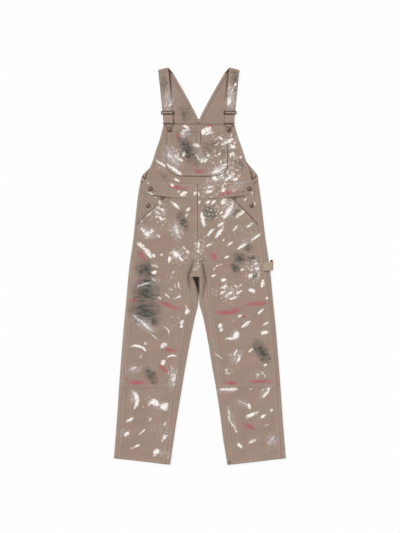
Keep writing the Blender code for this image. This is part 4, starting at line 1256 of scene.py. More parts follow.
def make_bib_pocket(pitch):
    columns = join_rows(stations(POCKET_LEFT, PEN_RIGHT, pitch), stations(PEN_RIGHT, POCKET_RIGHT, pitch),
                        PEN_LEFT + np.array([-1.5, -0.7, 0, 0.7, 1.5]))
    levels = stations(0, POCKET_STEP - POCKET_BOTTOM, pitch) / (POCKET_STEP - POCKET_BOTTOM)
    low = pocket_low(columns)
    tall = stations(POCKET_STEP, POCKET_TALL, pitch, PLAIN)[1:, None] + 0 * columns
    h = np.concatenate([mix(low, POCKET_STEP, levels[:, None]), tall])
    x = columns + 0 * h
    cells = all_cells(x)
    cells[len(levels) - 1:, columns[:-1] >= PEN_RIGHT - 0.01] = False
    top_edge = np.where(x <= PEN_RIGHT, POCKET_TALL - h, POCKET_STEP - h)
    step_edge = np.where(h > POCKET_STEP - 2, np.abs(x - PEN_RIGHT), 99)
    sides = np.minimum(x - POCKET_LEFT, POCKET_RIGHT - x)
    bottom = (h - low) * np.sqrt(np.clip(1 - 0.72 * into_corner(x) * into_corner(x), 0.1, 1))
    around = np.minimum(np.minimum(sides, bottom), step_edge)
    groove = -0.35 * bell(x - PEN_LEFT, 0.8)
    slot = 0.35 * bell(x - (PEN_LEFT + PEN_RIGHT) / 2, 4.5)
    thick = CLOTH + np.clip(felled(around, h + x, up=0.35) + felled(top_edge, x, width=14, up=0.45)
                            + groove + slot, -0.7, 0.8)
    gape = 1.3 * bell(top_edge, 16) * smooth(np.minimum(sides, np.abs(x - PEN_RIGHT)) / 30)
    # Dirt and painted shade along the pocket's edges and in the pen slot's stitched groove
    soil = np.maximum(0.9 * bell(np.minimum(around, top_edge), 1.5), 0.7 * bell(x - PEN_LEFT, 1.3))
    make_cloth(
        "pocket_on_bib", "bib_pocket", (262, 190), ["bib"], x, h,
        front_under(x, h) + CLOTH + GAP + 0.25 + gape, thick, 0.0, cells, area=visible_area(x, h, cells),
        worn=edge_wear(around), soil=soil, painted_h=true_height(x, h))


ARM_IN, ARM_OUT = 118.0, 158.5      # a folded arm's edges, from the middle


def neck_edge(h):
    """How far the V of the back is open to each side."""
    return 3.0 + 110.0 * np.maximum((h - NOTCH) / 200, 0) ** 1.08


def make_high_back(pitch):
    """Flat to the V, then two arms that fold over at the shoulders and end on the front."""
    rows = join_rows(stations(WAIST_TOP, NOTCH, pitch, NEAR, PLAIN), NOTCH + np.array(NEAR),
                     stations(NOTCH + 16, 1530.0, pitch, PLAIN, PLAIN))
    r = FOLD / 2
    halves = []
    for side in (-1, 1):
        edge = edge_of(BACK_EDGE, side, rows)
        inner = CENTRE + side * neck_edge(rows)
        flat_x = side * across(side * inner, side * edge, pitch)
        reach = ARM_IN + (ARM_OUT - ARM_IN) * (flat_x[-1] - inner[-1]) / (edge[-1] - inner[-1])
        top = LENGTH - 0.25 * (reach - ARM_IN)
        over = [(top + r * math.sin(angle) - r, r - r * math.cos(angle) + 0 * reach) for angle in arc()]
        over += [(mix(top - r, ARM_END, t), FOLD + 0 * reach) for t in (0.25, 0.5, 0.8, 0.95, 1.0)]
        heights, z = (np.array(values) for values in zip(*over))
        half = [np.concatenate([flat_x, CENTRE + side * reach + 0 * z]),
                np.concatenate([rows[:, None] + 0 * flat_x, heights]), np.concatenate([0 * flat_x, z])]
        halves.append([value[:, ::side] for value in half])
    x, h, z = (np.concatenate(pair, axis=1) for pair in zip(*halves))
    middle = halves[0][0].shape[1] - 1
    cells = all_cells(x)
    cells[np.searchsorted(rows, NOTCH):, middle] = False
    side = np.where(np.arange(x.shape[1]) <= middle, -1, 1)
    flat = z < 0.01
    armhole = np.where(side < 0, x - edge_of(BACK_EDGE, -1, h), edge_of(BACK_EDGE, 1, h) - x)
    armhole = np.where(flat, armhole, side * (CENTRE - x) + ARM_OUT)
    neck = np.where(h > NOTCH, side * (x - CENTRE), np.hypot(x - CENTRE, h - NOTCH)) - neck_edge(h)
    neck = np.where(flat, neck, side * (x - CENTRE) - ARM_IN)
    armhole, neck = np.maximum(armhole, 0), np.maximum(neck, 0)
    edge = np.minimum(armhole, neck)
    inner_face = CLOTH + np.clip(felled(armhole, h, up=0.4) + felled(neck, h, up=0.5), -0.6, 0.7)
    inner_face = np.where(flat, inner_face, CLOTH)
    outer_face = np.where(flat, 0, -0.5 * bell(edge, 0.8))
    lift = 0.7 * smooth((h - 1110) / 40) * smooth(edge / 25) * flat
    z = z + lift * np.maximum(ripple(x * 1.3 + 90, h) / 1.4 + 0.4, 0)
    out = np.abs(x - CENTRE)
    # Painted shade on the inner face: beside each strap's inner edge, under the bib's top edge, in the low
    # corners beside the bib, at the hips and in the arms' top corners; dirt and painted shade along the
    # armholes and the neck
    strap_shadow = smooth((h - 1395) / 90) * bell(np.minimum(out - (strap_centre(h) - strap_half(h)), 0), 6.0)
    bib_reach = np.where(x < CENTRE, CENTRE - edge_of(BIB_EDGE, -1, h), edge_of(BIB_EDGE, 1, h) - CENTRE)
    low_corner_shade = 0.7 * smooth((1150 - h) / 30) * bell(np.maximum(out - bib_reach, 0), 5.0)
    arm_corner_shade = (h > 1522) * smooth((24 - np.abs(neck - 6)) / 16) * smooth((h - 1522) / 12)
    shades = [0.85 * strap_shadow, 0.55 * bell(h - BIB_TOP - 1, 3.0), low_corner_shade, hip_tuck_shade(x, h), arm_corner_shade]
    dirt_plus_shade = edge_soil(armhole) + edge_soil(neck, edge=0.5, step=0.95)
    area = folded_area(np.abs(np.diff(x, axis=1)), np.hypot(np.diff(h, axis=0), np.diff(z, axis=0)), cells)
    make_cloth(
        "high_back", "back_bib", (460, 480), [], x, h, z, outer_face, -inner_face, cells, area=area,
        nudge=GAP * (h == WAIST_TOP), turn=True, upper=np.where(flat, 2, 1), lower=np.where(flat, 1, 0),
        both=True, worn=1.6 * edge_wear(edge), soil=np.minimum(dirt_plus_shade, 1),
        under_shade=np.where(flat, np.maximum.reduce(shades), 0))


# Straps

SLIDER_H = 1373.5
BAR_STEP = 6.1           # from the middle of one of a slider's bars to the next
HOOK_H = 1335.0          # of the hook's bar, as is HOOK_Z
HOOK_Z = 4.5
LOOP = 2.4               # radius of the strap's loop round that bar
STRAP_DOWN = table(
    namedtuple("StrapPoint", "h z"),
    (ARM_END - GAP, 5.4), (1512, 4.7), (1488, 2.8), (1462, 2.1), (1420, 2.1), (1384, 2.1), (1377.2, 2.1),
    (1375.2, 5.5), (1371.8, 5.5), (1369.8, 2.1), (1365.6, 2.1), (1361.5, 4.0), (1351, 5.2), (1342, 6.5),
)


def strap_centre(h):
    return 122.5 + 16.0 * (h - 1380.0) / 171.0


def strap_half(h):
    return mix(18.9, 20.3, (h - 1335) / 200)


def smooth_line(points, step):
    """A smooth curve through points, as points a step apart at most."""
    made = []
    padded = np.concatenate([points[:1], points, points[-1:]])
    for a, b, c, d in zip(padded, padded[1:], padded[2:], padded[3:]):
        chord = np.linalg.norm(c - b)
        before, after = max(np.linalg.norm(b - a), 1e-6), max(np.linalg.norm(d - c), 1e-6)
        slope_b = ((c - b) / chord * before + (b - a) / before * chord) / (before + chord)
        slope_c = ((d - c) / after * chord + (c - b) / chord * after) / (after + chord)
        if (b == a).all():
            slope_b = (c - b) / chord
        if (d == c).all():
            slope_c = (c - b) / chord
        count = max(int(math.ceil(chord / step)), 1)
        made.append(between(b, c, slope_b, slope_c, chord, np.linspace(0, 1, count + 1)[:-1, None]))
    return np.concatenate([*made, points[-1:]])


def make_strap(side, label, pitch):
    """Down from the shoulder, through the slider, round the hook's bar and back up behind itself."""
    round_bar = [(HOOK_H - LOOP * math.sin(angle), HOOK_Z + LOOP * math.cos(angle)) for angle in arc(12)]
    path = smooth_line(np.array([*STRAP_DOWN, *round_bar, (1347, 2.1), (1359.5, 2.1)]), 1.4)
    h, z = path[:, :1], path[:, 1:]
    half = strap_half(h)
    centre = CENTRE + side * strap_centre(h)
    x = across((centre - half)[:, 0], (centre + half)[:, 0], pitch, NEAR[:9], NEAR[:9])
    edge = half - np.abs(x - centre)
    face = CLOTH / 2 + np.clip(felled(edge, h, width=7.5, up=0.3), -0.5, 0.4)
    on_front = (np.arange(len(h)) < np.argmin(h))[:, None]
    end = np.abs(h - ARM_END + GAP)
    run = np.linalg.norm(np.diff(path, axis=0), axis=1).sum()
    # Dirt and painted shade along the strap's edges and at its end
    make_cloth(
        f"{label}_strap", f"strap_{label}", (40, run), ["high_back"], x, h, z, face, -CLOTH / 2,
        area=39.0 * run, turn=True, upper=on_front, worn=edge_wear(edge, 7.5),
        soil=bell(np.minimum(edge, end), 1.6))


HAMMER_LOOP = table(
    namedtuple("LoopPoint", "out z up"),
    (-12, 8.85, 0), (-4, 8.85, 0), (4, 8.6, 0), (12, 8, 0), (19, 7.3, 0.3), (24.4, 6.2, 1.2),
    (27.6, 4.9, 3), (28.6, 3.7, 5), (27.4, 2.4, 7), (24, 1.3, 8.5), (18.9, 1, 10),
)
LOOP_LOW, LOOP_HIGH = 757.0, 790.0


def make_hammer_loop():
    """A webbing loop sewn on beside the right side seam, out over the fold and twisted back beside it."""
    out, z, rise = smooth_line(np.array(HAMMER_LOOP, float), 0.8).T
    h = stations(LOOP_LOW, LOOP_HIGH, 2.0, NEAR[:6], NEAR[:6])[:, None]
    sag = -0.5 * bell(np.minimum(h - LOOP_LOW, LOOP_HIGH - h), 1.2)
    run = np.linalg.norm(np.diff(np.array(HAMMER_LOOP, float), axis=0), axis=1).sum()
    # Painted shade along the loop's sewn end, and on its inner face where it runs low
    make_cloth(
        "hammer_holder", "hammer_loop", (run, LOOP_HIGH - LOOP_LOW), ["right_knee_patch"],
        float(side_seam(1, LOOP_LOW)) + 0.4 + out, h + rise, z, 1.0 + sag * 0.8, -1.0 - sag * 0.8,
        area=run * (LOOP_HIGH - LOOP_LOW) * 0.98, slot="webbing", upper=0,
        shade=0.5 * bell(out - HAMMER_LOOP[0].out, 1.6), under_shade=0.95 * smooth((4.6 - z) / 1.6))


def loop_shadow(x, h):
    """The dark under the hammer loop's lower edge."""
    reach = smooth((x - 248) / 6) * smooth((274 - x) / 5)
    return 0.75 * reach * bell(LOOP_LOW - 3 - h, 2.6)


# Stitches

ROW_NEAR = 2.0           # first row of stitches from a sewn edge
ROW_FAR = 9.2            # second row
ROWS = (ROW_NEAR, ROW_FAR)
HEM_ROWS = (2.5, 13.0)
BOX_LOW, BOX_HIGH = ARM_END - 25, ARM_END - 3    # stitched box that holds a strap's end


def up_line(x_at, low, high, pitch=12.0):
    """A line up the garment, whose x is worked out at each height."""
    h = np.linspace(low, high, max(int((high - low) / pitch), 1) + 1)
    return np.stack([x_at(h) + 0 * h, h], axis=1)


def cross_line(height, start, end, inset=0.0, pitch=12.0):
    """A line across the garment that stops short of both its ends."""
    left, right = sorted((start, end))
    left, right = left + inset, right - inset
    x = np.linspace(left, right, max(int((right - left) / pitch), 1) + 1)
    return np.stack([x, height + 0 * x], axis=1)


def pocket_line(inset):
    """Down the left of the bib pocket, round its lower corners and up the right, inside its edge."""
    turn = np.linspace(0, math.pi / 2, 9)
    side_x, side_h = CORNER_X - inset, CORNER_H - inset
    low = POCKET_BOTTOM + CORNER_H
    left = np.stack([POCKET_LEFT + CORNER_X - side_x * np.cos(turn), low - side_h * np.sin(turn)], axis=1)
    right = np.stack([POCKET_RIGHT - CORNER_X + side_x * np.sin(turn), low - side_h * np.cos(turn)], axis=1)
    start = up_line(lambda h: POCKET_LEFT + inset, low + 4, POCKET_TALL - 1.5)[::-1]
    end = up_line(lambda h: POCKET_RIGHT - inset, low + 4, POCKET_STEP - 1.5)
    return np.concatenate([start, left, right, end])


def leg_lines():
    """Felled seams of the legs, knee patches, hems and hip pocket mouths."""
    for side in (-1, 1):
        for inset in ROWS:
            into = side * (GAP / 2 + inset)
            yield up_line(lambda h: side_seam(side, h) - into, 3, WAIST - 2)
            yield up_line(lambda h: inseam(side, h) + into, 3, CROTCH + inset)
            slanted = side * inset * math.sqrt(2)
            yield up_line(lambda h: pocket_mouth(side, h) - slanted, MOUTH_FOOT + 8, WAIST - 2)
            for height in (KNEE_BOTTOM + inset, KNEE_TOP - inset):
                inner = inseam(side, height) if height < CROTCH else read(RISE, height, "x")
                yield cross_line(height, side_seam(side, height), inner, 2)
            yield cross_line(CROTCH + inset, inseam(side, CROTCH) + into, read(RISE, CROTCH, "x") + side * 2)
        for height in HEM_ROWS:
            yield cross_line(height, side_seam(side, height), inseam(side, height), 2)
            yield cross_line(height, side_seam(side, height), fold_x(side, height), 1.5)
            yield cross_line(height, inseam(side, height), inner_edge(side, height), 1.5)
    for offset in (-ROW_NEAR, ROW_NEAR, ROW_FAR):
        yield up_line(lambda h: read(RISE, h, "x") + offset, CROTCH + 2, WAIST - 2)


def upper_lines():
    """Waistband, bib, its pocket, the neck and the straps."""
    for height in (WAIST + 2.2, WAIST_TOP - 2.4):
        yield cross_line(height, side_seam(-1, WAIST_TOP), side_seam(1, WAIST_TOP), 2)
    for x in (FLY - 2.4, FLY + 2.4, FLY + 15.0):
        yield up_line(lambda h: x, WAIST + 4, WAIST_TOP - 4)
    for side in (-1, 1):
        yield up_line(lambda h: side_seam(side, h) - side * 2.2, WAIST + 4, WAIST_TOP - 4)
        for inset in ROWS:
            yield up_line(lambda h: edge_of(BIB_EDGE, side, h) - side * inset, WAIST_TOP + 2, BIB_TOP - 2)
            yield up_line(lambda h: CENTRE + side * (neck_edge(h) + inset), NOTCH + 2, ARM_END - 4)
            yield up_line(lambda h: edge_of(BACK_EDGE, side, h) - side * inset, WAIST_TOP + 2, 1180)
    for height in (BIB_TOP - ROW_NEAR, BIB_TOP - BIB_HEM + 2, WAIST_TOP + ROW_NEAR):
        yield cross_line(height, *(edge_of(BIB_EDGE, side, height) for side in (-1, 1)), 3)
    yield from map(pocket_line, ROWS)
    for drop in (2.0, 12.5):
        yield cross_line(POCKET_TALL - drop, POCKET_LEFT, PEN_RIGHT, 2)
        yield cross_line(POCKET_STEP - drop, PEN_RIGHT, POCKET_RIGHT, 2)
    yield up_line(lambda h: PEN_LEFT, POCKET_BOTTOM + 3, POCKET_TALL - 3)
    yield up_line(lambda h: PEN_RIGHT - 2, POCKET_STEP, POCKET_TALL - 2)
    for side in (-1, 1):
        def in_strap(h, way, inset):
            return CENTRE + side * strap_centre(h) + way * (strap_half(h) - inset)
        for way in (-1, 1):
            yield up_line(lambda h: in_strap(h, way, 2.0), 1384, ARM_END - 2)
            yield np.array([(in_strap(h, end, 4.0), h) for h, end in ((BOX_LOW, way), (BOX_HIGH, -way))])
        for height in (BOX_LOW, BOX_HIGH):
            middle = CENTRE + side * strap_centre(height)
            yield cross_line(height, middle - 15.5, middle + 15.5)


def under_lines():
    """Seams of the side that lies down: centre back, waist, hems, neck and armholes."""
    for side in (-1, 1):
        yield up_line(lambda h: CENTRE + side * 2.2, CROTCH + 6, WAIST_TOP - 2)
        for inset in ROWS:
            yield up_line(lambda h: CENTRE + side * (neck_edge(h) + inset), NOTCH + 2, 1526)
            yield up_line(lambda h: edge_of(BACK_EDGE, side, h) - side * inset, WAIST_TOP + 2, 1526)
        for height in HEM_ROWS:
            yield cross_line(height, fold_x(side, height), inner_edge(side, height), 5)
    yield up_line(lambda h: CENTRE + 8.6, CROTCH + 6, WAIST_TOP - 2)
    for height in (WAIST_TOP - 2.2, WAIST_TOP + ROW_NEAR + 0.4, WAIST_TOP + ROW_FAR):
        yield cross_line(height, fold_x(-1, WAIST_TOP), fold_x(1, WAIST_TOP), 5)


def turned(x, h, along, beside, lean):
    """Points along and beside a line that leans by some degrees, from a place on the pattern."""
    turn = math.radians(lean)
    return np.stack([x + along * math.cos(turn) - beside * math.sin(turn),
                     h + along * math.sin(turn) + beside * math.cos(turn)], axis=1)


def buttonhole(x, h, lean, reach=10.0, half=2.2):
    """The satin edge round a buttonhole: two sides and its ends."""
    angles = np.linspace(0, math.tau, 37)
    along = (reach - half) * np.sign(np.cos(angles)) * np.abs(np.cos(angles)) ** 0.3 + half * np.cos(angles)
    return turned(x, h, along, half * np.sin(angles), lean)


def bartack(x, h, lean, length=11.0):
    return turned(x, h, np.array([-length / 2, length / 2]), 0.0, lean)


def satin_lines():
    """Buttonholes of the waistband, and bartacks where seams are pulled."""
    for (x, h), lean in zip(BUTTONHOLES, (2, -2)):
        yield buttonhole(x, h, lean)
    for row in ((-232, 940, 45), (215, 940, 135), (-133, 1032, 0), (124, 1032, 0),
                (POCKET_LEFT + 5, POCKET_TALL - 2, 0), (POCKET_RIGHT - 5, POCKET_STEP - 2, 0),
                (PEN_RIGHT - 4, POCKET_STEP, 0), (-9, 880, 0), (-10, 802, 90)):
        yield bartack(*row)


def stitch_tree():
    """Drops stitches onto the cloth along lines; they lie along the line, or across it when turned."""
    numbers = dict.fromkeys(("Pitch", "Length", "Thickness", "Turn", "Side"), "Float")
    tree, node = new_group("rows of stitches", "GeometryNodeTree", {
        "Geometry": "Geometry", "Cloth": "Collection", "Thread": "Material", **numbers, "Seed": "Int",
    }, {"Geometry": "Geometry"})
    given = node("NodeGroupInput").outputs
    lines = node("GeometryNodeMeshToCurve", given["Geometry"])
    lines = node("GeometryNodeResampleCurve", Curve=lines, Length=given["Pitch"], mode="LENGTH")
    cloth = node("GeometryNodeRealizeInstances", node("GeometryNodeCollectionInfo", given["Cloth"]))
    high = node("CombineXYZ", Z=given["Side"])
    start = node("VectorMath.MULTIPLY", high, (0.05,) * 3)
    start = node("VectorMath.ADD", node("GeometryNodeInputPosition"), start)
    down = node("VectorMath.SCALE", high, -1.0)
    ray = node("GeometryNodeRaycast", Target_Geometry=cloth, Source_Position=start, Ray_Direction=down,
               Ray_Length=0.2)
    kept = node("GeometryNodeCaptureAttribute", Geometry=lines)
    for kind, name, source in (("VECTOR", "Place", "Hit Position"), ("VECTOR", "Normal", "Hit Normal"),
                               ("BOOLEAN", "Hit", "Is Hit")):
        kept.capture_items.new(kind, name)
        tree.links.new(ray.outputs[source], kept.inputs[name])
    points, place, normal, hit = kept.outputs[:4]
    # The thread sinks a third of its thickness into the cloth that it pulls down
    rise = node("Math.MULTIPLY", given["Thickness"], 0.15)
    place = node("VectorMath.ADD", place, node("VectorMath.SCALE", normal, rise))
    laid = node("GeometryNodeSetPosition", Geometry=points, Position=place)
    facing = node("FunctionNodeAlignRotationToVector", Vector=node("GeometryNodeInputTangent"), axis="X")
    facing = node("FunctionNodeAlignRotationToVector", Rotation=facing, Vector=normal, axis="Z",
                  pivot_axis="X")
    sway, pull = (node("FunctionNodeRandomValue.FLOAT", least, most, Seed=given["Seed"])
                  for least, most in ((-0.09, 0.09), (0.9, 1.08)))
    lean = node("Math.ADD", given["Turn"], sway)
    lean = node("FunctionNodeAxisAngleToRotation", (0, 0, 1), lean)
    facing = node("FunctionNodeRotateRotation", facing, lean, rotation_space="LOCAL")
    long = node("Math.MULTIPLY", given["Length"], pull)
    size = node("CombineXYZ", long, given["Thickness"], given["Thickness"])
    bead = node("GeometryNodeMeshIcoSphere", Radius=0.5, Subdivisions=1)
    sewn = node("GeometryNodeInstanceOnPoints", Points=laid, Selection=hit, Instance=bead, Rotation=facing,
                Scale=size)
    solid = node("GeometryNodeSetShadeSmooth", Geometry=node("GeometryNodeRealizeInstances", sewn))
    node("NodeGroupOutput", node("GeometryNodeSetMaterial", Geometry=solid, Material=given["Thread"]))
    return tree


def sew(name, lines, tree, **values):
    """Turns lines on the pattern into a plain mesh of stitches, from the tree's inputs by name."""
    vertices, edges = [], []
    for line in lines:
        first = len(vertices)
        up = true_height(line[:, 0], line[:, 1])
        vertices += [(x * MM, (h - LENGTH / 2) * MM, 0.0) for x, h in zip(line[:, 0].tolist(), up.tolist())]
        edges += [(k, k + 1) for k in range(first, len(vertices) - 1)]
    guide_mesh = bpy.data.meshes.new(name + "_guide")
    guide_mesh.from_pydata(vertices, edges, [])
    guide = add_object(name + "_guide", guide_mesh)
    modifier = guide.modifiers.new("stitches", "NODES")
    modifier.node_group = tree
    values |= {"Cloth": cloth_collection(), "Thread": bpy.data.materials["spun thread"]}
    for item in tree.interface.items_tree:
        if item.in_out == "INPUT" and item.name in values:
            modifier[item.identifier] = values[item.name]
    mesh = plain_mesh(guide, name)
    if not mesh.polygons:
        raise RuntimeError(f"{name} has no stitches")
    sewn = add_object(name, mesh)
    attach(sewn, "root")


# Metal parts

def metal_piece(name, mesh, node):
    mesh.materials.clear()
    mesh.materials.append(bpy.data.materials[FINISHES["brass"]])
    settle(add_object(name, mesh), "brass", node)


def mesh_of(thing, name, x, h, z):
    """Makes a curve or a modified mesh plain, puts it in its place and joins its caps."""
    mesh = plain_mesh(thing, name)
    mesh.transform(Matrix.Translation(Vector((x, h - LENGTH / 2, z)) * MM))
    bm = bmesh.new()
    bm.from_mesh(mesh)
    bmesh.ops.remove_doubles(bm, verts=bm.verts, dist=WELD)
    bmesh.ops.recalc_face_normals(bm, faces=bm.faces)
    bm.to_mesh(mesh)
    bm.free()
    mesh.shade_smooth()
    mesh.set_sharp_from_angle(angle=math.radians(50))
    return mesh


def rounded_box(half_x, half_h, radius, centre_h=0.0, steps=6):
    points = []
    for quarter in range(4):
        cx = (half_x - radius) * (1 if quarter in (0, 3) else -1)
        ch = (half_h - radius) * (1 if quarter in (0, 1) else -1)
        for angle in np.linspace(quarter, quarter + 1, steps + 1) * math.pi / 2:
            points.append((cx + radius * math.cos(angle), centre_h + ch + radius * math.sin(angle), 0.0))
    return points


def new_curve(name, rows, kind):
    """A closed curve object through rows of (x, h, z) in millimetres."""
    data = bpy.data.curves.new(name, "CURVE")
    for row in rows:
        spline = data.splines.new(kind)
        points = spline.points if kind == "POLY" else spline.bezier_points
        points.add(len(row) - 1)
        for target, point in zip(points, row):
            place = Vector(point) * MM
            if kind == "POLY":
                target.co = (*place, 1)
            else:
                target.co = place
                target.handle_left_type = target.handle_right_type = "AUTO"
        spline.use_cyclic_u = True
    return add_object(name, data)


SLIDER_BAR = 3.0
SLIDER_PLATE = 0.8


def make_slider(side, label):
    """A stamped frame of 50 by 15 mm with a rounded rim, two windows and a centre bar."""
    window = (BAR_STEP - SLIDER_BAR) / 2
    rows = [rounded_box(25.2, BAR_STEP + SLIDER_BAR / 2, 2.5)]
    rows += [rounded_box(21.2, window, 0.8, up * BAR_STEP / 2) for up in (-1, 1)]
    plate = new_curve(f"{label}_slider_plate", rows, "POLY")
    plate.data.dimensions = "2D"
    plate.data.fill_mode = "BOTH"
    rim = 0.5
    plate.data.bevel_depth = rim * MM
    plate.data.bevel_resolution = 3
    plate.data.offset = -rim * MM
    plate.data.extrude = (SLIDER_PLATE - rim) * MM
    name = f"{label}_strap_slider"
    mesh = mesh_of(plate, name, CENTRE + side * strap_centre(SLIDER_H), SLIDER_H, 3.0 + SLIDER_PLATE)
    metal_piece(name, mesh, f"slider_{label}")


HOOK_WIRE = 1.3
HOOK_RING = 5.6
HOOK_RING_Z = 6.5


def make_hook(side, label):
    """A bent wire: a bar through the strap's loop and a keyhole round the button's shank."""
    drop = HOOK_H - BUTTON_H
    half = 21.0
    bar = [(-half + 2, 0.0), (0.0, 0.0), (half - 2, 0.0), (half - 0.5, -0.7), (half, -2.5)]
    bar += [(half - 2.4, -7.0), (13.5, -12.5), (8.2, -18.0), (HOOK_RING, -23.5)]
    ring = [(HOOK_RING * math.cos(angle), -drop - HOOK_RING * math.sin(angle)) for angle in arc()]
    back = [(-x, h) for x, h in reversed(bar[3:])]
    lean = side * (BUTTON_REACH - strap_centre(HOOK_H)) / drop
    path = [(x - lean * h, h, mix(HOOK_Z, HOOK_RING_Z, smooth(-h / 8))) for x, h in bar + ring + back]
    wire = new_curve(f"{label}_hook_wire", [path], "BEZIER")
    wire.data.dimensions = "3D"
    wire.data.bevel_depth = HOOK_WIRE * MM
    wire.data.bevel_resolution = 4
    wire.data.resolution_u = 6
    name = f"{label}_bib_hook"
    mesh = mesh_of(wire, name, CENTRE + side * strap_centre(HOOK_H), HOOK_H, 0)
    metal_piece(name, mesh, f"hook_{label}")


BUTTON_CAP = table(
    namedtuple("Ring", "radius height"),
    (0, 2.15), (1.6, 2.12), (3.0, 1.98), (4.2, 1.72), (4.8, 1.62), (5.4, 1.72), (6.0, 2.02), (6.7, 2.3),
    (7.3, 2.4), (7.9, 2.22), (8.3, 1.85), (8.5, 1.3), (8.4, 0.75), (8.1, 0.3), (7.6, 0.06), (7.0, 0.0),
)
BUTTON_STEPS = 48
# Where the painted highlight sits on a button
HIGHLIGHT_AT = (-1.6, 1.8)      # across and up from a button's centre


def make_button(name, node, x, h, seat, shank):
    """A jeans button: a domed cap with a rolled rim on a short shank."""
    profile = [(ring.radius, 0, ring.height + shank) for ring in BUTTON_CAP]
    profile += [(3.2, 0, shank), (3.0, 0, 0.0), (0, 0, 0.0)]
    outline = bpy.data.meshes.new(name)
    edges = [(k, k + 1) for k in range(len(profile) - 1)]
    outline.from_pydata([Vector(point) * MM for point in profile], edges, [])
    cap = add_object(name + "_outline", outline)
    turn = cap.modifiers.new("turn", "SCREW")
    turn.steps = turn.render_steps = BUTTON_STEPS
    turn.use_merge_vertices = True
    turn.merge_threshold = WELD
    mesh = mesh_of(cap, name, x, h, seat)
    # Painted highlight on the dome, up and to the left of its centre, stored as rubbed
    middle = np.array([x + HIGHLIGHT_AT[0], h - LENGTH / 2 + HIGHLIGHT_AT[1]]) * MM
    away = [math.hypot(*(np.array(vertex.co[:2]) - middle)) / MM for vertex in mesh.vertices]
    add_values(mesh, "rubbed", 0.9 * bell(np.array(away), 2.6))
    metal_piece(name, mesh, node)


def button_seat(under, x, h, thickness):
    """Highest point of the cloth below a button's shank."""
    return max(float(under(x + dx, h)) for dx in (-3.2, 0.0, 3.2)) + thickness + GAP


def make_buttons():
    for label, side in SIDES:
        x = CENTRE + side * BUTTON_REACH
        seat = float(front_z(CENTRE, 1300)) + CLOTH + GAP
        make_button(f"{label}_bib_stud", f"bib_button_{label}", x, BUTTON_H, seat, 3.2)
        for level, under, thickness, (out, h) in (
                ("upper", front_z, BAND, HIP_BUTTONS[0]),
                ("lower", partial(facing_under, side), CLOTH, HIP_BUTTONS[1])):
            x = side * out
            seat = button_seat(under, x, h, thickness)
            make_button(f"{label}_{level}_hip_stud", f"side_button_{label}_{level}", x,
                        float(true_height(x, h)), seat, 0.5)


# Stage

CAMERA_HEIGHT = 4.914
CAMERA_LENS = 85.0
FLOOR_DROP = 0.3         # below the cloth: the underside's stitches, 0.4 deep, press into the paper
KEY_ANGLE = 24.0         # degrees across, which keeps the shadows of creases soft
KEY_STRENGTH = 2.42
KEY_FROM = (-0.62, 0.55, 0.62)
ROUND_STRENGTH = 0.54    # of the even light all round
FLOOR_HALF = 4.0         # metres


def make_floor_material(colour):
    """Matt white paper: it shows as white to the camera and keeps part of the shadow."""
    node = new_material("matt white paper")
    fibre = node("TexNoise", node("TexCoord").outputs["Object"], 900.0, 2.0)
    bump = node("Bump", Strength=0.05, Distance=0.0001, Height=fibre)
    rays = node("LightPath").outputs
    seen = largest(node, [rays[f"Is {kind} Ray"] for kind in ("Camera", "Glossy", "Transmission")])
    node("OutputMaterial", node("MixShader", node("Math.MULTIPLY", seen, 0.75),
                                node("BsdfDiffuse", Color=colour, Normal=bump),
                                node("Emission", (1, 1, 1, 1), 1.0)))


def make_stage(colour):
    """A floor of paper, one soft key light from the upper left, even light all round, and the camera."""
    mesh = bpy.data.meshes.new("paper_floor")
    corners = ((-1, -1), (1, -1), (1, 1), (-1, 1))
    corners = [(FLOOR_HALF * x, FLOOR_HALF * y, -FLOOR_DROP * MM) for x, y in corners]
    mesh.from_pydata(corners, [], [(0, 1, 2, 3)])
    make_floor_material(colour)
    mesh.materials.append(bpy.data.materials["matt white paper"])
    add_object("paper_floor", mesh)

    world = bpy.data.worlds.new("even light")
    world.use_nodes = True
    background = world.node_tree.nodes["Background"].inputs
    background["Color"].default_value = (1, 1, 1, 1)
    background["Strength"].default_value = ROUND_STRENGTH
    bpy.context.scene.world = world

    key = bpy.data.lights.new("key", "SUN")
    key.energy = KEY_STRENGTH
    key.angle = math.radians(KEY_ANGLE)
    lamp = add_object("key", key)
    lamp.rotation_euler = Vector(KEY_FROM).to_track_quat("Z", "Y").to_euler()

    lens = bpy.data.cameras.new("camera")
    lens.lens = CAMERA_LENS
    lens.clip_end = 50
    camera = add_object("camera", lens)
    camera.location = (0.0008, -0.002, CAMERA_HEIGHT)
    bpy.context.scene.camera = camera
    bpy.context.scene.view_settings.view_transform = "Standard"


# Add-on

def colour_property(label, about, code):
    return FloatVectorProperty(name=label, description=about, default=linear(code), size=4, subtype="COLOR",
                               min=0, max=1)


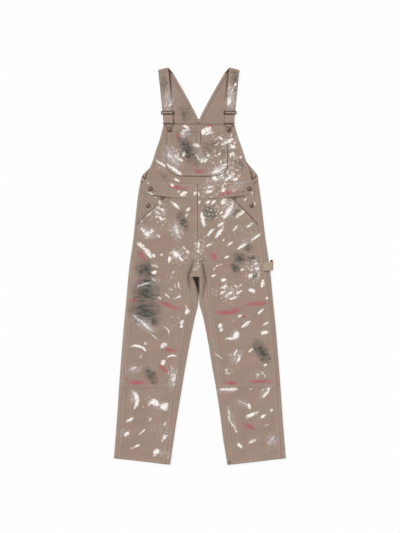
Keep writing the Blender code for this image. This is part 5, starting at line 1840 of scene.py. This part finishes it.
class DungareesColours(bpy.types.PropertyGroup):
    """Colours of the finishes."""
    canvas: colour_property("Canvas", "Garment washed duck", "#A08C7E")
    canvas_warm: colour_property("Warm fading", "Canvas where it has faded pinker", "#A6877D")
    canvas_cool: colour_property("Cool fading", "Canvas where it has faded greener", "#958C7B")
    canvas_worn: colour_property("Rubbed canvas", "Edges rubbed pale", "#BFB0A3")
    # Painted shade: down in folds and gaps, inside pockets and under edges
    painted_shade: colour_property("Painted shade", "Painted shade down inside a fold or pocket", "#2E1C12")
    white: colour_property("White paint", "Dry white house paint", "#FBF5EE")
    red: colour_property("Red paint", "Thin red paint, half washed out", "#B4545E")
    # Dirt with painted shade along edges and seams
    seam_soil: colour_property("Seam dirt and shade", "Dirt and painted shade along edges and seams", "#54423A")
    haze: colour_property("Paint haze", "Paint washed and rubbed into the cloth", "#C6BEC3")
    haze_green: colour_property("Green haze", "Haze where it has a green cast", "#BDBFAE")
    soot: colour_property("Grime", "Dark smudges", "#4E4A47")
    soot_green: colour_property("Green grime", "Dark smudges with green paint in them", "#414A42")
    thread: colour_property("Thread", "Seam thread", "#A38C7B")
    thread_worn: colour_property("Rubbed thread", "Seam thread rubbed pale", "#B7A493")
    webbing: colour_property("Webbing", "Undyed cotton of the hammer loop", "#BCAA96")
    webbing_soiled: colour_property("Soiled webbing", "Webbing where hands have held it", "#A8957F")
    brass: colour_property("Dark brass", "Chemically darkened brass", "#5C463A")
    # Also the colour of the painted highlight on the buttons' domes
    brass_rubbed_and_highlight: colour_property("Rubbed brass", "Brass bared on rims, and the buttons' painted highlight", "#DCCBB2")
    paper: colour_property("Floor", "White paper", "#FCFCFC")


def length_property(label, about, default, least):
    return FloatProperty(name=label, description=about, default=default, min=least, unit="LENGTH")


class DungareesSizes(bpy.types.PropertyGroup):
    """Sizes of the cloth's mesh and of its stitches."""
    pitch: FloatProperty(name="Mesh pitch", description="Millimetres between points of the cloth",
                         default=4.5, min=2, max=20)
    stitch_pitch: length_property("Stitch pitch", "Distance from stitch to stitch", 0.0032, 0.001)
    stitch_length: length_property("Stitch length", "Length of thread that shows", 0.0027, 0.001)
    stitch_thickness: length_property("Thread thickness", "Diameter of the seam thread", 0.00062, 0.0002)
    satin_pitch: length_property("Satin pitch", "Distance between a buttonhole's threads", 0.0005, 0.0002)
    satin_width: length_property("Satin width", "Width of a buttonhole's or bartack's threads",
                                 0.0024, 0.001)


def make_both(*makers, **sizes):
    """Makes pieces for the left and the right."""
    for label, side in SIDES:
        for make in makers:
            make(side, label, **sizes)


class DUNGAREES_OT_finishes(bpy.types.Operator):
    """Makes the canvas, thread, webbing and brass."""
    bl_idname = "dungarees.finishes"
    bl_label = "Finishes"

    def execute(self, context):
        colours = context.scene.dungarees_colours
        for make in (make_canvas, make_thread, make_webbing, make_brass):
            make(colours)
        return {"FINISHED"}


class DUNGAREES_OT_legs(bpy.types.Operator):
    """Makes the back and front of both legs and their knee patches."""
    bl_idname = "dungarees.legs"
    bl_label = "Legs"

    def execute(self, context):
        pitch = context.scene.dungarees_sizes.pitch
        make_both(make_back_leg, make_front_leg, make_knee_patch, pitch=pitch)
        return {"FINISHED"}


class DUNGAREES_OT_waist(bpy.types.Operator):
    """Makes the hip facings and the waistband's two halves."""
    bl_idname = "dungarees.waist"
    bl_label = "Waist"

    def execute(self, context):
        make_both(make_hip_facing, make_waistband, pitch=context.scene.dungarees_sizes.pitch)
        return {"FINISHED"}


class DUNGAREES_OT_bib(bpy.types.Operator):
    """Makes the bib, its pocket and the high back with its folded arms."""
    bl_idname = "dungarees.bib"
    bl_label = "Bib and back"

    def execute(self, context):
        for make in (make_high_back, make_bib, make_bib_pocket):
            make(context.scene.dungarees_sizes.pitch)
        return {"FINISHED"}


class DUNGAREES_OT_straps(bpy.types.Operator):
    """Makes the straps and the hammer loop."""
    bl_idname = "dungarees.straps"
    bl_label = "Straps and loop"

    def execute(self, context):
        make_both(make_strap, pitch=context.scene.dungarees_sizes.pitch)
        make_hammer_loop()
        return {"FINISHED"}


class DUNGAREES_OT_stitches(bpy.types.Operator):
    """Sews every seam, hem, buttonhole and bartack with Geometry Nodes."""
    bl_idname = "dungarees.stitches"
    bl_label = "Stitches"

    def execute(self, context):
        sizes = context.scene.dungarees_sizes
        tree = stitch_tree()
        running = sizes.stitch_pitch, sizes.stitch_length, 0.0
        satin = sizes.satin_pitch, sizes.satin_width, math.pi / 2
        for name, lines, side, seed, (pitch, length, turn) in (
                ("leg_stitches", leg_lines, 1.0, 3, running),
                ("upper_stitches", upper_lines, 1.0, 4, running),
                ("under_stitches", under_lines, -1.0, 5, running),
                ("satin_stitches", satin_lines, 1.0, 6, satin)):
            sew(name, lines(), tree, Side=side, Seed=seed, Pitch=pitch, Length=length, Turn=turn,
                Thickness=sizes.stitch_thickness)
        return {"FINISHED"}


class DUNGAREES_OT_metal(bpy.types.Operator):
    """Makes the strap sliders, the hooks and the buttons."""
    bl_idname = "dungarees.metal"
    bl_label = "Metal parts"

    def execute(self, context):
        make_both(make_slider, make_hook)
        make_buttons()
        return {"FINISHED"}


class DUNGAREES_OT_stage(bpy.types.Operator):
    """Makes the floor, the light and the camera."""
    bl_idname = "dungarees.stage"
    bl_label = "Stage"

    def execute(self, context):
        make_stage(context.scene.dungarees_colours.paper)
        return {"FINISHED"}


OPERATORS = (
    DUNGAREES_OT_finishes, DUNGAREES_OT_legs, DUNGAREES_OT_waist, DUNGAREES_OT_bib, DUNGAREES_OT_straps,
    DUNGAREES_OT_stitches, DUNGAREES_OT_metal, DUNGAREES_OT_stage,
)


class DUNGAREES_PT_panel(bpy.types.Panel):
    """Lists the pieces in the order in which they are made, with their sizes and colours."""
    bl_idname = "DUNGAREES_PT_panel"
    bl_label = "Dungarees"
    bl_space_type = "VIEW_3D"
    bl_region_type = "UI"
    bl_category = "Dungarees"

    def draw(self, context):
        for operator in OPERATORS:
            self.layout.operator(operator.bl_idname)
        for group in (context.scene.dungarees_sizes, context.scene.dungarees_colours):
            box = self.layout.box()
            for key in group.bl_rna.properties.keys():
                if key not in ("rna_type", "name"):
                    box.prop(group, key)


CLASSES = (DungareesColours, DungareesSizes, *OPERATORS, DUNGAREES_PT_panel)


def register():
    for item in CLASSES:
        bpy.utils.register_class(item)
    bpy.types.Scene.dungarees_colours = PointerProperty(type=DungareesColours)
    bpy.types.Scene.dungarees_sizes = PointerProperty(type=DungareesSizes)


def unregister():
    del bpy.types.Scene.dungarees_sizes
    del bpy.types.Scene.dungarees_colours
    for item in reversed(CLASSES):
        bpy.utils.unregister_class(item)


def main():
    register()
    bpy.ops.dungarees.finishes()
    bpy.ops.dungarees.legs()
    bpy.ops.dungarees.waist()
    bpy.ops.dungarees.bib()
    bpy.ops.dungarees.straps()
    bpy.ops.dungarees.stitches()
    bpy.ops.dungarees.metal()
    bpy.ops.dungarees.stage()


if __name__ == "__main__":
    main()
